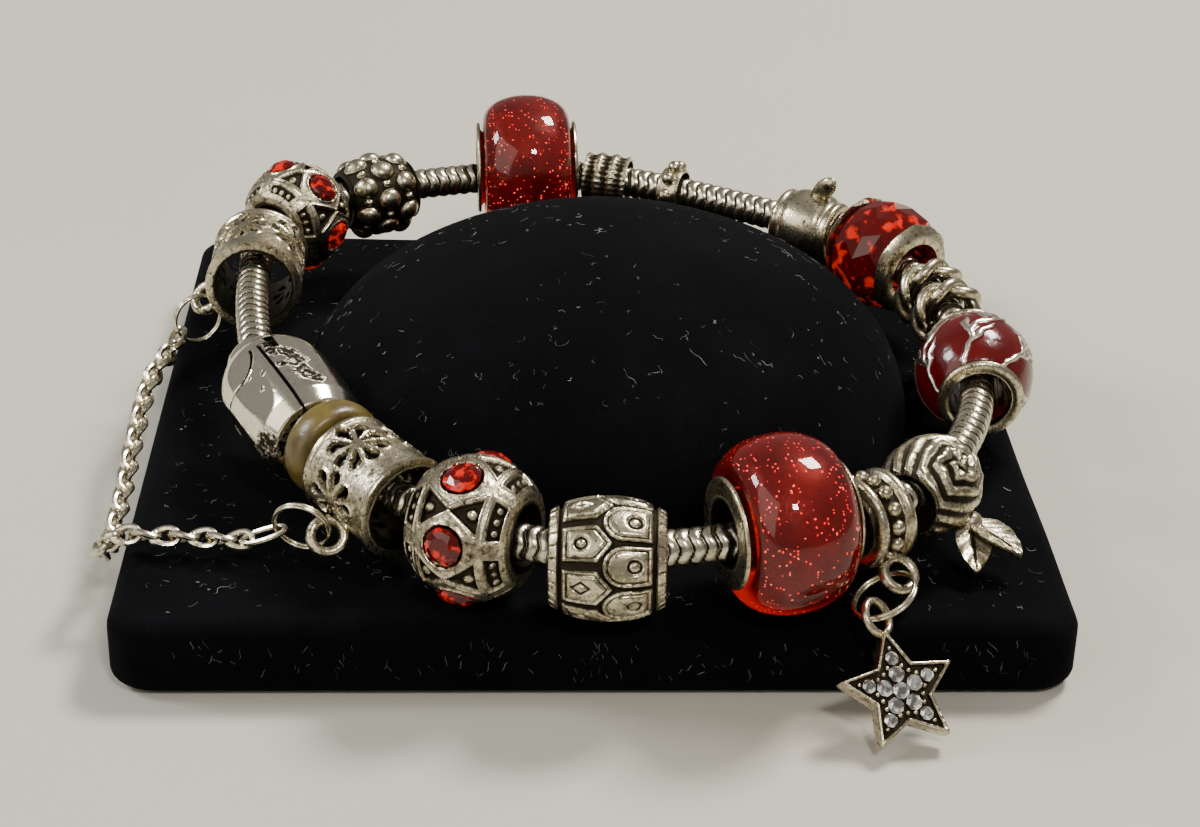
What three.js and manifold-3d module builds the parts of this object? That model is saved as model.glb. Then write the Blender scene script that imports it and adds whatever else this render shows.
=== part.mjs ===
// A charm bracelet closed on its own barrel clasp, lying round the low mound of a velvet display stand.
// Millimetres, +Z up. The origin is the middle of the stand's flat underside; -Y is the front, and a
// deeper stand grows to the back.
// A bead's own frame: X runs along the chain, Y points into the bracelet's ring, Z points up.

import * as THREE from 'three';
import { mergeVertices } from 'three/addons/utils/BufferGeometryUtils.js';
import Module from 'manifold-3d';

const wasm = await Module();
wasm.setup();

// Driving dimensions: the stand
const STAND_WIDTH = 77;
const STAND_DEPTH = 76;
const SLAB_HEIGHT = 6.6;
const SLAB_CORNER = 3.2;
const SLAB_EDGE = 1.5;
const MOUND_SIDES = 24;
const MOUND_RADIUS = 27.4;
const MOUND_HEIGHT = 16.2;
const MOUND_SHIFT = [1.8, 0.2];

// Driving dimensions: fits shared by all the pieces
const GAP = 0.3;            // clearance between pieces that touch on the real bracelet
const BEAD_PLAY = 0.5;      // how loosely a small bead's bore goes over the chain
const CLASP_PLAY = 0.8;     // how loosely the clasp's mouth and collar go over the chain
const ROUND = 16;           // sides of a turned bead
const RING_SIDES = 12;      // sides of a jump ring or loop
const WIRE_SIDES = 5;       // sides of a ring's wire
const TUBE_SIDES = 8;       // sides of a chain's outer form

// Driving dimensions: the chain and its clasp
const CHAIN_DIAMETER = 3.0;
const CHAIN_STEP = 5.8;     // length of one straight stretch of the chain
const KNOB_DIAMETER = 4.4;
const CLASP_DIAMETER = 9.8;
const CLASP_LENGTH = 13.8;
const CLASP_WALL = 1.3;
const COLLAR_DIAMETER = 5.4;
const COLLAR_LENGTH = 1.2;
const HINGE_BACK = 2.4;     // the hinge pin lies this far behind the clasp's middle
const HINGE_OUT = 3.1;      // and this far from its axis
const PIN_DIAMETER = 1.0;
const KNUCKLE_DIAMETER = 2.5;
const KNUCKLE_HEIGHT = 2.4;
const CLASP_ROLL = 20;      // degrees that the seam leans out from the top
const SLOT_LENGTH = 2.2;    // the slot in the clasp's top, over the pin
const SLOT_WIDTH = 0.8;
const HOLLOW_TAPER = 1.4;   // length of the cone between the clasp's hollow and its mouth

// Driving dimensions: the beads
const STOPPER_DIAMETER = 8.4;
const STOPPER_WIDTH = 3.0;
const STOPPER_ROUND = 0.8;  // how far the stopper's edges are rounded down
const STOPPER_GAP = 0.7;    // along the chain, on both sides of the stopper
const HOLDER_DIAMETER = 8.8;
const HOLDER_LENGTH = 8.2;
const HOLDER_WALL = 0.9;
const HOLDER_CHAMFER = 0.3;
const DAISY_MARGIN = 0.5;   // metal left between a daisy and the holder's end
const DAISY_REACH = 2.45;   // from a daisy's middle to its petal tips
const DAISY_HEART = 0.8;
const PETAL_SPREAD = 0.27;  // a petal's half width at its tip, as a share of its length
const DAISIES = 5;
const PETALS = 8;
const BALL_DIAMETER = 11.4;
const BACK_BALL_SIZE = 0.88; // the back ball bead's size, as a share of the front one's
const BALL_LENGTH = 8.8;
const BALL_SIDES = 12;
const BALL_BORE = 5.8;
const STONE_DIAMETER = 3.1;
const STONES = 6;
const STONE_PROUD = 0.15;   // a stone's girdle lies this far under the ball's surface
const STONE_BACK = 0.75;    // a cut stone's depth below its girdle, as a share of its radius
const STONE_TWIST = 18;     // degrees from the top to the first stone
const CELL_ARM = 0.19;      // size of the dark cells sunk into the ball beads, as a share of the ball's
const CELL_DEPTH = 0.5;
const BARREL_DIAMETER = 9.8;
const BARREL_LENGTH = 9.1;
const BARREL_BORE = 5.6;
const ARCHES = 8;
const ARCH_DOT = 1.96;
const RELIEF_DEPTH = 0.5;
const GLASS_DIAMETER = 14.3;
const GLASS_WIDTH = 8.6;
const GLASS_CHAMFER = 0.8;
const GLASS_SHOULDER = 0.6; // the round outside starts this far below the glass's middle radius
const CORE_BORE = 5.4;
const CORE_WALL = 0.5;
const FLANGE_DIAMETER = 9.0;
const FLANGE_THICKNESS = 0.4;
const SPACER_DIAMETER = 7.6;
const SPACER_LENGTH = 3.8;
const SPACER_BORE = 5;
const SPACER_EDGE = 0.2;
const SPACER_GROOVE = 0.7;  // depth of the groove that the balls lie in
const SPACER_DOTS = 10;
const DOT_DIAMETER = 1.2;
const ROSE_DIAMETER = 8.2;
const ROSE_LENGTH = 7.0;
const ROSE_BORE = 5.0;
const BUD_PETALS = 5;
const BUD_SPREAD = 26;      // degrees from the bud's middle to a petal's
const LEAF_LENGTH = 5.2;
const LEAF_WIDTH = 3.0;
const LEAF_THICKNESS = 0.9;
const ENAMEL_DIAMETER = 10.4;
const ENAMEL_LENGTH = 8.4;
const ENAMEL_BORE = 5.2;
const RIM_WIDTH = 0.7;
const RIM_WALL = 1.1;
const KNOT_DIAMETER = 6.8;
const KNOT_LENGTH = 2.4;
const KNOT_LEAN = 9;        // degrees that each turn of the wire leans
const CRYSTAL_DIAMETER = 10.2;
const CRYSTAL_LENGTH = 8.6;
const CRYSTAL_BORE = 5.4;
const CAP_THICKNESS = 0.9;
const URN_DIAMETER = 7.2;
const URN_LENGTH = 6.2;
const URN_BORE = 4.6;
const TAB_HEIGHT = 2.2;
const TAB_LEAN = 38;        // degrees that the tab leans along the chain
const BEADED_DIAMETER = 5.6;
const BEADED_LENGTH = 2.0;
const BEADED_BALLS = 8;
const BEADED_BALL = 1.3;
const SLEEVE_DIAMETER = 5.2;
const SLEEVE_LENGTH = 4.4;
const SLEEVE_RIBS = 3;
const SLEEVE_RELIEF = 0.4;
const TEXTURED_DIAMETER = 8.0;
const TEXTURED_LENGTH = 7.2;
const TEXTURED_BORE = 4.8;
const PEBBLES = 6;
const PEBBLE_DIAMETER = 2.2;

// Driving dimensions: rings, links and the star
const LOOP_DIAMETER = 3.6;
const LOOP_WIRE = 0.9;
const JUMP_DIAMETER = 5;
const JUMP_WIRE = 0.6;
const STAR_RING_EASE = 1.01; // the ring's radius, as a share of half the way between its two loops
const STAR_RING_ASIDE = [-1, 0.5, -0.5]; // the way from the two loops to the ring's middle
const LINK_CHAIN_DIAMETER = 2.2; // across the safety chain's links
const STAR_REACH = 5.0;     // from the star's middle to its tips
const STAR_WAIST = 0.5;     // share of the reach at which the star's inner corners lie
const STAR_THICKNESS = 1.5;
const STAR_RIM = 0.45;
const STAR_STONE = 1.9;
const STAR_SPREAD = 0.44;   // the outer stones' distance from the middle, as a share of the reach
const STAR_LOOP = 3.4;
const STAR_LOOP_WIRE = 0.65;
const STAR_LOOP_TURN = 30;  // degrees that the star's loop is turned about its upright
const STAR_LOOP_HEIGHT = STAR_REACH + STAR_LOOP / 2 - STAR_LOOP_WIRE;

// The star stands on its lower tips, and the slab's front edge lies close behind it
const STAR_MIDDLE = [23.1, -43.0, 3.9];
const STAR_TOP = [21.9, -39.3, 7.3];
const STAR_FOOT = [24.1, -45.8, 1.0];
const SLAB_FRONT = STAR_MIDDLE[1] + STAR_REACH;
const STAR_FACING = [0.21, -0.655, 0.726];

// The way that each jump ring is pulled from its holder's loop, and the way that its flat side faces
const FRONT_RING = { pull: [-0.94, 0.17, 0.29], facing: [-0.25, -0.93, -0.26] };
const BACK_RING = { pull: [-0.43, -0.25, -0.87], facing: [0.5, -0.87, 0] };

// Angles in degrees, from a bead's top towards the outside of the ring
const HOLDER_LOOP_ANGLE = 122;
const HOLDER_LOOP_TURN = 60;
const SPACER_LOOP_ANGLE = 130;
const SPACER_LOOP_TURN = 90;
const ROSE_FACE = 40;
const ROSE_KNOT = 130;
const ROSE_LEAVES = [[-0.75, -0.54, -0.36], [-0.12, -0.97, -0.2]]; // which way each leaf points

// The chain's route round the bracelet, from the clasp's middle towards its mouth
const CHAIN_ROUTE = [
  [-25.7, -14.0, 13.9], [-22.1, -20.6, 13.6], [-18.3, -26.0, 13.5], [-14.4, -30.4, 13.1], [-9.6, -33.7, 12.9],
  [-4.6, -35.9, 12.8], [0.7, -36.9, 12.8], [7.2, -36.4, 13.0], [13.8, -34.9, 13.2], [20.4, -32.2, 13.2],
  [25.4, -28.4, 13.2], [29.8, -22.4, 13.4], [32.6, -15.6, 13.7], [33.9, -8.4, 14.0], [33.7, -1.0, 14.3],
  [32.3, 5.8, 14.6], [29.4, 13.2, 15.0], [24.2, 19.2, 15.3], [17.8, 23.4, 15.6], [10.2, 27.4, 15.9],
  [2.9, 30.3, 16.1], [-4.7, 31.4, 16.1], [-12.0, 30.2, 15.9], [-19.0, 28.0, 15.8], [-26.0, 23.2, 15.9],
  [-29.8, 15.8, 15.8], [-30.2, 6.6, 15.8], [-29.4, -2.8, 15.3], [-28.3, -8.4, 14.7],
];
const route = new THREE.CatmullRomCurve3(CHAIN_ROUTE.map(p => new THREE.Vector3(...p)), true, 'centripetal');
const LENGTH = route.getLength();

// Each bead's place: its share of the route, how far it hangs below or above the chain, and its turn
const STOPPER_SHARE = (CLASP_LENGTH / 2 + STOPPER_GAP + STOPPER_WIDTH / 2) / LENGTH;
const HOLDER_SHARE = STOPPER_SHARE + (STOPPER_WIDTH / 2 + STOPPER_GAP + HOLDER_LENGTH / 2) / LENGTH;
const BEADS = {
  stopper_ring: { share: STOPPER_SHARE },
  holder_front: { share: HOLDER_SHARE, lift: -0.5 },
  ball_front: { share: 0.1232, lift: 0.15, tip: 4, turn: 3 },
  barrel_bead: { share: 0.1748, lift: -0.6 },
  glass_front: { share: 0.2414, lift: 0.85 },
  bail_spacer: { share: 0.2797, lift: -0.6 },
  rosebud_bead: { share: 0.3155, lift: -0.6 },
  enamel_bead: { share: 0.411, lift: -0.3 },
  knot_spacer_1: { share: 0.4605 },
  knot_spacer_2: { share: 0.4795 },
  crystal_bead: { share: 0.5185, lift: 0.2 },
  urn_bead: { share: 0.5625, lift: -0.2 },
  beaded_ring: { share: 0.633 },
  ribbed_sleeve: { share: 0.666 },
  glass_back: { share: 0.705, lift: 0.85 },
  textured_bead: { share: 0.779, lift: -0.4 },
  ball_back: { share: 0.825, lift: -0.1 },
  holder_back: { share: 0.8775, lift: -1.0 },
};

// The safety chain's route, from the front jump ring over the slab's left edge to the back jump ring
const SLAB_LEFT = -STAND_WIDTH / 2;
const SAFETY_ROUTE = [
  [-27.7, -28.2, 8.6], [-31.0, -27.4, 8.3], [-35.2, -26.9, 8.2], [SLAB_LEFT, -26.7, 8.1],
  [SLAB_LEFT - 1.6, -25.6, 6.1], [SLAB_LEFT - 1.6, -22.2, 4.6], [SLAB_LEFT - 1.5, -15.0, 4.9],
  [SLAB_LEFT - 1.5, -6.0, 6.0], [SLAB_LEFT - 1.0, 2.0, 7.6], [SLAB_LEFT + 0.8, 8.2, 8.6],
];

const metal = (colour, roughness) => ({ color: colour, roughness, metalness: 1 });
const OLD_SILVER = metal(0x9a948a, 0.38);
const BRIGHT_SILVER = metal(0xd9d8d4, 0.12);
const CHAIN_SILVER = metal(0xb9b4a6, 0.25);
const RED_STONE = { color: 0xc4160f, roughness: 0.05, metalness: 0 };
const RED_GLASS = { color: 0x8e0b10, roughness: 0.06, metalness: 0 };
const RED_ENAMEL = { color: 0x97141a, roughness: 0.12, metalness: 0 };
const AMBER_RUBBER = { color: 0xb08a3c, roughness: 0.5, metalness: 0 };
const VELVET = { color: 0x0b0c10, roughness: 0.95, metalness: 0 };

const degrees = Math.PI / 180;
const bracelet = new THREE.Group();

// A closed three.js geometry as a solid, with its faces pointing out
function solid(geometry) {
  const plain = geometry.index ? geometry.toNonIndexed() : geometry.clone();
  plain.deleteAttribute('normal');
  plain.deleteAttribute('uv');
  const merged = mergeVertices(plain, 1e-4);
  const points = merged.attributes.position;
  const corners = [];
  let volume = 0;
  const [a, b, c] = [new THREE.Vector3(), new THREE.Vector3(), new THREE.Vector3()];
  for (let i = 0; i < merged.index.count; i += 3) {
    const face = [0, 1, 2].map(k => merged.index.getX(i + k));
    if (new Set(face).size < 3) continue;
    corners.push(face);
    a.fromBufferAttribute(points, face[0]);
    b.fromBufferAttribute(points, face[1]);
    c.fromBufferAttribute(points, face[2]);
    volume += a.dot(b.cross(c));
  }
  if (volume < 0) corners.forEach(face => face.reverse());
  return new wasm.Manifold(new wasm.Mesh({
    numProp: 3,
    vertProperties: new Float32Array(points.array),
    triVerts: new Uint32Array(corners.flat()),
  }));
}

const joined = (...bodies) => bodies.flat().reduce((whole, body) => whole.add(body));
const cutBy = (body, ...tools) => body.subtract(joined(...tools));

// Adds one named mesh to the bracelet
function piece(name, body, finish, placement = new THREE.Matrix4()) {
  const cut = body.getMesh();
  const geometry = new THREE.BufferGeometry();
  geometry.setAttribute('position', new THREE.BufferAttribute(new Float32Array(cut.vertProperties), 3));
  geometry.setIndex(new THREE.BufferAttribute(new Uint32Array(cut.triVerts), 1));
  geometry.computeVertexNormals();
  const mesh = new THREE.Mesh(geometry, new THREE.MeshStandardMaterial({ ...finish, flatShading: true }));
  mesh.name = name;
  mesh.applyMatrix4(placement);
  bracelet.add(mesh);
}

// The frame of a bead at a share of the chain's route, raised, rolled, turned and tipped
function seat(share, { lift = 0, roll = 0, turn = 0, tip = 0 } = {}) {
  const along = route.getTangentAt(share);
  const up = new THREE.Vector3(0, 0, 1).addScaledVector(along, -along.z).normalize();
  const into = new THREE.Vector3().crossVectors(up, along);
  const place = route.getPointAt(share).addScaledVector(up, lift);
  const frame = new THREE.Matrix4().makeBasis(along, into, up).setPosition(place);
  frame.multiply(new THREE.Matrix4().makeRotationZ(turn * degrees));
  frame.multiply(new THREE.Matrix4().makeRotationY(-tip * degrees));
  return frame.multiply(new THREE.Matrix4().makeRotationX(roll * degrees));
}

const beadSeat = name => seat(BEADS[name].share, BEADS[name]);

// A frame on a bead's side: X along the chain, Y round the bead, Z out of it.
// The angle runs from the top towards the outside of the ring, and lean tips Z towards the bead's end.
function onSide(x, angle, radius, lean = 0) {
  const out = new THREE.Vector3(0, -Math.sin(angle), Math.cos(angle));
  const along = new THREE.Vector3(1, 0, 0);
  const round = new THREE.Vector3().crossVectors(out, along);
  const leanOut = out.clone().multiplyScalar(Math.cos(lean)).addScaledVector(along, Math.sin(lean));
  const leanAlong = along.clone().multiplyScalar(Math.cos(lean)).addScaledVector(out, -Math.sin(lean));
  const place = out.clone().multiplyScalar(radius).addScaledVector(along, x);
  return new THREE.Matrix4().makeBasis(leanAlong, round, leanOut).setPosition(place);
}

const onBall = (latitude, angle, radius) =>
  onSide(radius * Math.sin(latitude), angle, radius * Math.cos(latitude), latitude);

// A profile of [radius, place along the chain] turned about the bead's X axis
function turned(profile, sides = ROUND) {
  const closed = profile.at(0)[0] > 0 ? [...profile, profile[0]] : profile;
  const points = closed.map(([radius, along]) => new THREE.Vector2(radius, along));
  return solid(new THREE.LatheGeometry(points, sides).rotateZ(-Math.PI / 2));
}

const drill = (diameter, length, sides = ROUND) => turned(
  [[0, -length / 2], [diameter / 2, -length / 2], [diameter / 2, length / 2], [0, length / 2]], sides);

const ring = (diameter, wire, sides = RING_SIDES) =>
  new THREE.TorusGeometry((diameter - wire) / 2, wire / 2, WIRE_SIDES, sides);

const block = (x0, x1, y0, y1, z0, z1) => solid(
  new THREE.BoxGeometry(x1 - x0, y1 - y0, z1 - z0)
    .translate((x0 + x1) / 2, (y0 + y1) / 2, (z0 + z1) / 2));

// A flat outline extruded out of a bead's side, from below its own plane to above it
function prism(outline, below, above, placement) {
  const shape = new THREE.Shape(outline.map(p => new THREE.Vector2(...p)));
  const geometry = new THREE.ExtrudeGeometry(shape, { depth: above + below, bevelEnabled: false });
  return solid(geometry.translate(0, 0, -below).applyMatrix4(placement));
}

const range = count => Array.from({ length: count }, (_, i) => i);
const fullTurn = 2 * Math.PI;

// Small balls round a bead
const dots = (count, diameter, x, radius, phase = 0) => range(count).map(i => solid(
  new THREE.OctahedronGeometry(diameter / 2, 0)
    .applyMatrix4(onSide(x, fullTurn * (i + phase) / count, radius))));

// A round cut stone: an eight-sided table and crown above its girdle, a pointed back below it
function cutStone(diameter, placement) {
  const r = diameter / 2;
  const profile = [[0, -STONE_BACK * r], [r, 0], [0.58 * r, 0.36 * r], [0, 0.36 * r]];
  const points = profile.map(p => new THREE.Vector2(...p));
  const geometry = new THREE.LatheGeometry(points, 8).rotateX(Math.PI / 2);
  return solid(geometry.applyMatrix4(placement));
}

// The stand: a padded slab with a low round mound on it
function stand() {
  const [w, d] = [STAND_WIDTH / 2 - SLAB_EDGE, STAND_DEPTH / 2 - SLAB_EDGE];
  const c = SLAB_CORNER - SLAB_EDGE;
  const plan = new THREE.Shape();
  plan.moveTo(-w + c, -d);
  plan.lineTo(w - c, -d).absarc(w - c, -d + c, c, -Math.PI / 2, 0);
  plan.lineTo(w, d - c).absarc(w - c, d - c, c, 0, Math.PI / 2);
  plan.lineTo(-w + c, d).absarc(-w + c, d - c, c, Math.PI / 2, Math.PI);
  plan.lineTo(-w, -d + c).absarc(-w + c, -d + c, c, Math.PI, 1.5 * Math.PI);
  const slab = new THREE.ExtrudeGeometry(plan, {
    depth: SLAB_HEIGHT - 2 * SLAB_EDGE,
    bevelThickness: SLAB_EDGE,
    bevelSize: SLAB_EDGE,
    bevelSegments: 2,
    curveSegments: 2,
  });
  slab.translate(0, SLAB_FRONT + STAND_DEPTH / 2, SLAB_EDGE);
  piece('stand_base', solid(slab), VELVET);
  const rings = 6;
  const dome = range(rings + 1).map(i => {
    const rise = (i / rings) * Math.PI / 2;
    return new THREE.Vector2(MOUND_RADIUS * Math.cos(rise), MOUND_HEIGHT * Math.sin(rise));
  });
  const profile = [new THREE.Vector2(0, 0), ...dome.slice(0, -1), new THREE.Vector2(0, MOUND_HEIGHT)];
  const mound = new THREE.LatheGeometry(profile, MOUND_SIDES).rotateX(Math.PI / 2);
  piece('stand_mound', solid(mound), VELVET,
    new THREE.Matrix4().makeTranslation(...MOUND_SHIFT, SLAB_HEIGHT + GAP));
}

// A faceted tube along a curve
function tube(curve, diameter, steps) {
  const section = new THREE.Shape(range(TUBE_SIDES).map(i => {
    const angle = fullTurn * (i + 0.5) / TUBE_SIDES;
    return new THREE.Vector2(Math.cos(angle), Math.sin(angle)).multiplyScalar(diameter / 2);
  }));
  return solid(new THREE.ExtrudeGeometry(section, { steps, extrudePath: curve }));
}

// The snake chain: a tube from the knob in the clasp's mouth round to the clasp's collar
const KNOB_SHARE = (CLASP_LENGTH / 2 - CLASP_WALL - GAP - KNOB_DIAMETER / 2) / LENGTH;
const SOCKET_DEPTH = COLLAR_LENGTH + 1;
const CHAIN_START = KNOB_SHARE + (KNOB_DIAMETER / 2 + GAP) / LENGTH;
const CHAIN_END = 1 - (CLASP_LENGTH / 2 - SOCKET_DEPTH + 2 * GAP) / LENGTH;

function snakeChain() {
  const steps = Math.round(LENGTH * (CHAIN_END - CHAIN_START) / CHAIN_STEP);
  const spots = range(2 * steps + 1).map(i => {
    const share = CHAIN_START + (CHAIN_END - CHAIN_START) * i / (2 * steps);
    return route.getPointAt(share);
  });
  piece('snake_chain', tube(new THREE.CatmullRomCurve3(spots), CHAIN_DIAMETER, steps), CHAIN_SILVER);
}

// The clasp: a hollow barrel whose outer half swings open on a pin at its back
const CLASP_PROFILE = [ // shares of the half length, and of the radius
  { along: -1.0, radius: COLLAR_DIAMETER / CLASP_DIAMETER },
  { along: -1 + 2 * COLLAR_LENGTH / CLASP_LENGTH, radius: COLLAR_DIAMETER / CLASP_DIAMETER },
  { along: -0.68, radius: 0.80 },
  { along: -0.46, radius: 0.95 },
  { along: -0.22, radius: 1.0 },
  { along: 0.4, radius: 1.0 },
  { along: 0.78, radius: 0.94 },
  { along: 1.0, radius: 0.80 },
];

function clasp() {
  const [half, r] = [CLASP_LENGTH / 2, CLASP_DIAMETER / 2];
  const outline = CLASP_PROFILE.map(row => [row.radius * r, row.along * half]);
  const barrel = turned([[0, -half], ...outline, [0, half]]);
  const hollowStart = -HINGE_BACK;
  const hollowEnd = half - CLASP_WALL;
  const mouth = CHAIN_DIAMETER + 2 * CLASP_PLAY;
  const hollow = turned([[0, hollowStart], [r - CLASP_WALL, hollowStart],
    [r - CLASP_WALL, hollowEnd - HOLLOW_TAPER], [mouth / 2 + 0.1, hollowEnd], [0, hollowEnd]]);
  const mouthHole = drill(mouth, 2 * CLASP_WALL + 1).translate([half, 0, 0]);
  const socket = drill(mouth, 2 * SOCKET_DEPTH).translate([-half, 0, 0]);
  const slot = block(-HINGE_BACK - SLOT_LENGTH / 2, -HINGE_BACK + SLOT_LENGTH / 2,
    SLOT_WIDTH, 2 * SLOT_WIDTH, r - 2 * CLASP_WALL, r + 1);
  const shell = cutBy(barrel, hollow, mouthHole, socket, slot);

  // An upright cylinder about the hinge pin
  const post = (radius, height, sides = 12) => solid(
    new THREE.CylinderGeometry(radius, radius, height, sides).rotateX(Math.PI / 2)
      .translate(-HINGE_BACK, -HINGE_OUT, 0));
  const tall = CLASP_DIAMETER + 2;
  const cheek = r - HINGE_OUT + 0.4;                    // the body's ears end this far from the pin
  const knuckle = KNUCKLE_DIAMETER / 2;
  const slotHigh = KNUCKLE_HEIGHT / 2 + GAP;
  const front = half + 1;
  const openSide = block(-HINGE_BACK, front, -r - 1, GAP / 2, -tall / 2, tall / 2);
  const tongueWay = block(-HINGE_BACK, front, -r - 1, GAP / 2, -slotHigh, slotHigh);
  const pin = post(PIN_DIAMETER / 2, 2 * slotHigh + 1.2);
  const body = shell
    .subtract(openSide.subtract(post(cheek, tall, 24)))
    .subtract(tongueWay)
    .subtract(post(knuckle + 2 * GAP, 2 * slotHigh, 24))
    .add(pin);
  const placement = seat(0, { roll: CLASP_ROLL });
  piece('clasp_body', body, BRIGHT_SILVER, placement);

  const jawSide = block(-HINGE_BACK, front, -r - 1, -GAP / 2, -tall / 2, tall / 2);
  const tongue = block(-HINGE_BACK, -HINGE_BACK + cheek + 1.2, -HINGE_OUT - knuckle, -HINGE_OUT + knuckle,
    -KNUCKLE_HEIGHT / 2, KNUCKLE_HEIGHT / 2).add(post(knuckle, KNUCKLE_HEIGHT));
  const jaw = shell.intersect(jawSide)
    .subtract(post(cheek + GAP, tall, 24))
    .add(tongue.intersect(barrel))
    .subtract(post(PIN_DIAMETER / 2 + GAP, tall, 12));
  piece('clasp_jaw', jaw, BRIGHT_SILVER, placement);

  const knob = new THREE.SphereGeometry(KNOB_DIAMETER / 2, 8, 5);
  piece('chain_knob', solid(knob), CHAIN_SILVER, seat(KNOB_SHARE));
}

// A soft rubber ring that keeps the beads from the clasp
function stopper() {
  const [r, w] = [STOPPER_DIAMETER / 2, STOPPER_WIDTH / 2];
  const bore = CHAIN_DIAMETER / 2 + BEAD_PLAY;
  const side = r - STOPPER_ROUND;
  const profile = [[bore, -w], [side, -w], [r, -w / 2], [r, w / 2], [side, w], [bore, w]];
  piece('stopper_ring', turned(profile, 12), AMBER_RUBBER, beadSeat('stopper_ring'));
}

// A loop's middle lies this far from its bead's axis, so that its wire sinks into the bead
const loopReach = radius => radius + (LOOP_DIAMETER - 2 * LOOP_WIRE) / 2 + LOOP_WIRE / 3;

// A loop of wire that hangs on a bead's side at an angle, its hole along the chain
function sideLoop(angle, radius, turn = 0) {
  const geometry = ring(LOOP_DIAMETER, LOOP_WIRE).rotateY(Math.PI / 2).rotateZ(turn * degrees);
  return solid(geometry.applyMatrix4(onSide(0, angle, loopReach(radius))));
}

// A bail bead: a tube pierced with daisies, and a loop under it for the safety chain
function holder(name, loopAngle, loopTurn) {
  const [r, half] = [HOLDER_DIAMETER / 2, HOLDER_LENGTH / 2];
  const inner = r - HOLDER_WALL;
  const [side, end] = [r - HOLDER_CHAMFER, half - HOLDER_CHAMFER];
  const tube = turned([[inner, -half], [side, -half], [r, -end], [r, end], [side, half], [inner, half]],
    3 * DAISIES);
  const tip = DAISY_REACH - DAISY_HEART;
  const petal = [[DAISY_HEART, 0], [DAISY_REACH, -PETAL_SPREAD * tip], [DAISY_REACH, PETAL_SPREAD * tip]];
  const petals = range(DAISIES).flatMap(daisy => {
    const sway = (half - DAISY_REACH - DAISY_MARGIN) * (daisy % 2 ? 1 : -1) / 2;
    return range(PETALS).map(i => {
      const spin = new THREE.Matrix4().makeRotationZ(fullTurn * i / PETALS);
      const place = onSide(sway, fullTurn * (daisy + 0.5) / DAISIES, r);
      return prism(petal, r - 1.2 * HOLDER_WALL, 1, place.multiply(spin));
    });
  });
  const body = cutBy(tube, petals).add(sideLoop(loopAngle, r, loopTurn));
  piece(name, body, OLD_SILVER, beadSeat(name));
}

// A ball bead: round stones in a belt, with sunk triangles and bars between them on both sides
function ballBead(name, stoneTwist, size) {
  const [r, half, bore] = [BALL_DIAMETER / 2, BALL_LENGTH / 2, BALL_BORE / 2];
  const arc = Math.asin(half / r);
  const rows = 4;
  const outside = range(rows + 1).map(i => {
    const latitude = arc * (2 * i / rows - 1);
    return [r * Math.cos(latitude), r * Math.sin(latitude)];
  });
  const ball = turned([[bore, -half], ...outside, [bore, half]], BALL_SIDES)
    .rotate([stoneTwist - 180 / BALL_SIDES, 0, 0]);
  const place = beadSeat(name).scale(new THREE.Vector3(size, size, size));
  const angles = range(STONES).map(i => fullTurn * i / STONES + stoneTwist * degrees);
  const seatDepth = STONE_PROUD + STONE_BACK * STONE_DIAMETER / 2 + GAP;
  const seatRadius = STONE_DIAMETER / 2 + GAP;
  const seats = angles.map(angle => solid(
    new THREE.CylinderGeometry(seatRadius, seatRadius, seatDepth + 1, 8)
      .rotateX(Math.PI / 2).applyMatrix4(onSide(0, angle, r - seatDepth / 2 + 0.5))));
  const arm = CELL_ARM * BALL_DIAMETER;
  const triangle = [[-0.5 * arm, 0], [0.42 * arm, -0.52 * arm], [0.42 * arm, 0.52 * arm]];
  const bar = [[-0.2 * arm, -0.55 * arm], [0.2 * arm, -0.42 * arm], [0.2 * arm, 0.42 * arm],
    [-0.2 * arm, 0.55 * arm]];
  const cells = angles.flatMap(angle => [-1, 1].flatMap(side => {
    const mid = angle + Math.PI / STONES;
    const flip = new THREE.Matrix4().makeRotationZ(side < 0 ? Math.PI : 0);
    const depth = r - CELL_DEPTH;
    return [
      prism(triangle, 0, 1, onBall(side * 0.30 * arc, mid, depth).multiply(flip)),
      prism(bar, 0, 1, onBall(side * 0.74 * arc, mid, depth).multiply(flip)),
    ];
  }));
  piece(name, cutBy(ball, seats, cells), OLD_SILVER, place);
  angles.forEach((angle, i) => {
    const stone = cutStone(STONE_DIAMETER, onSide(0, angle, r - STONE_PROUD));
    piece(`${name}_stone_${i + 1}`, stone, RED_STONE, place);
  });
}

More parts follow.
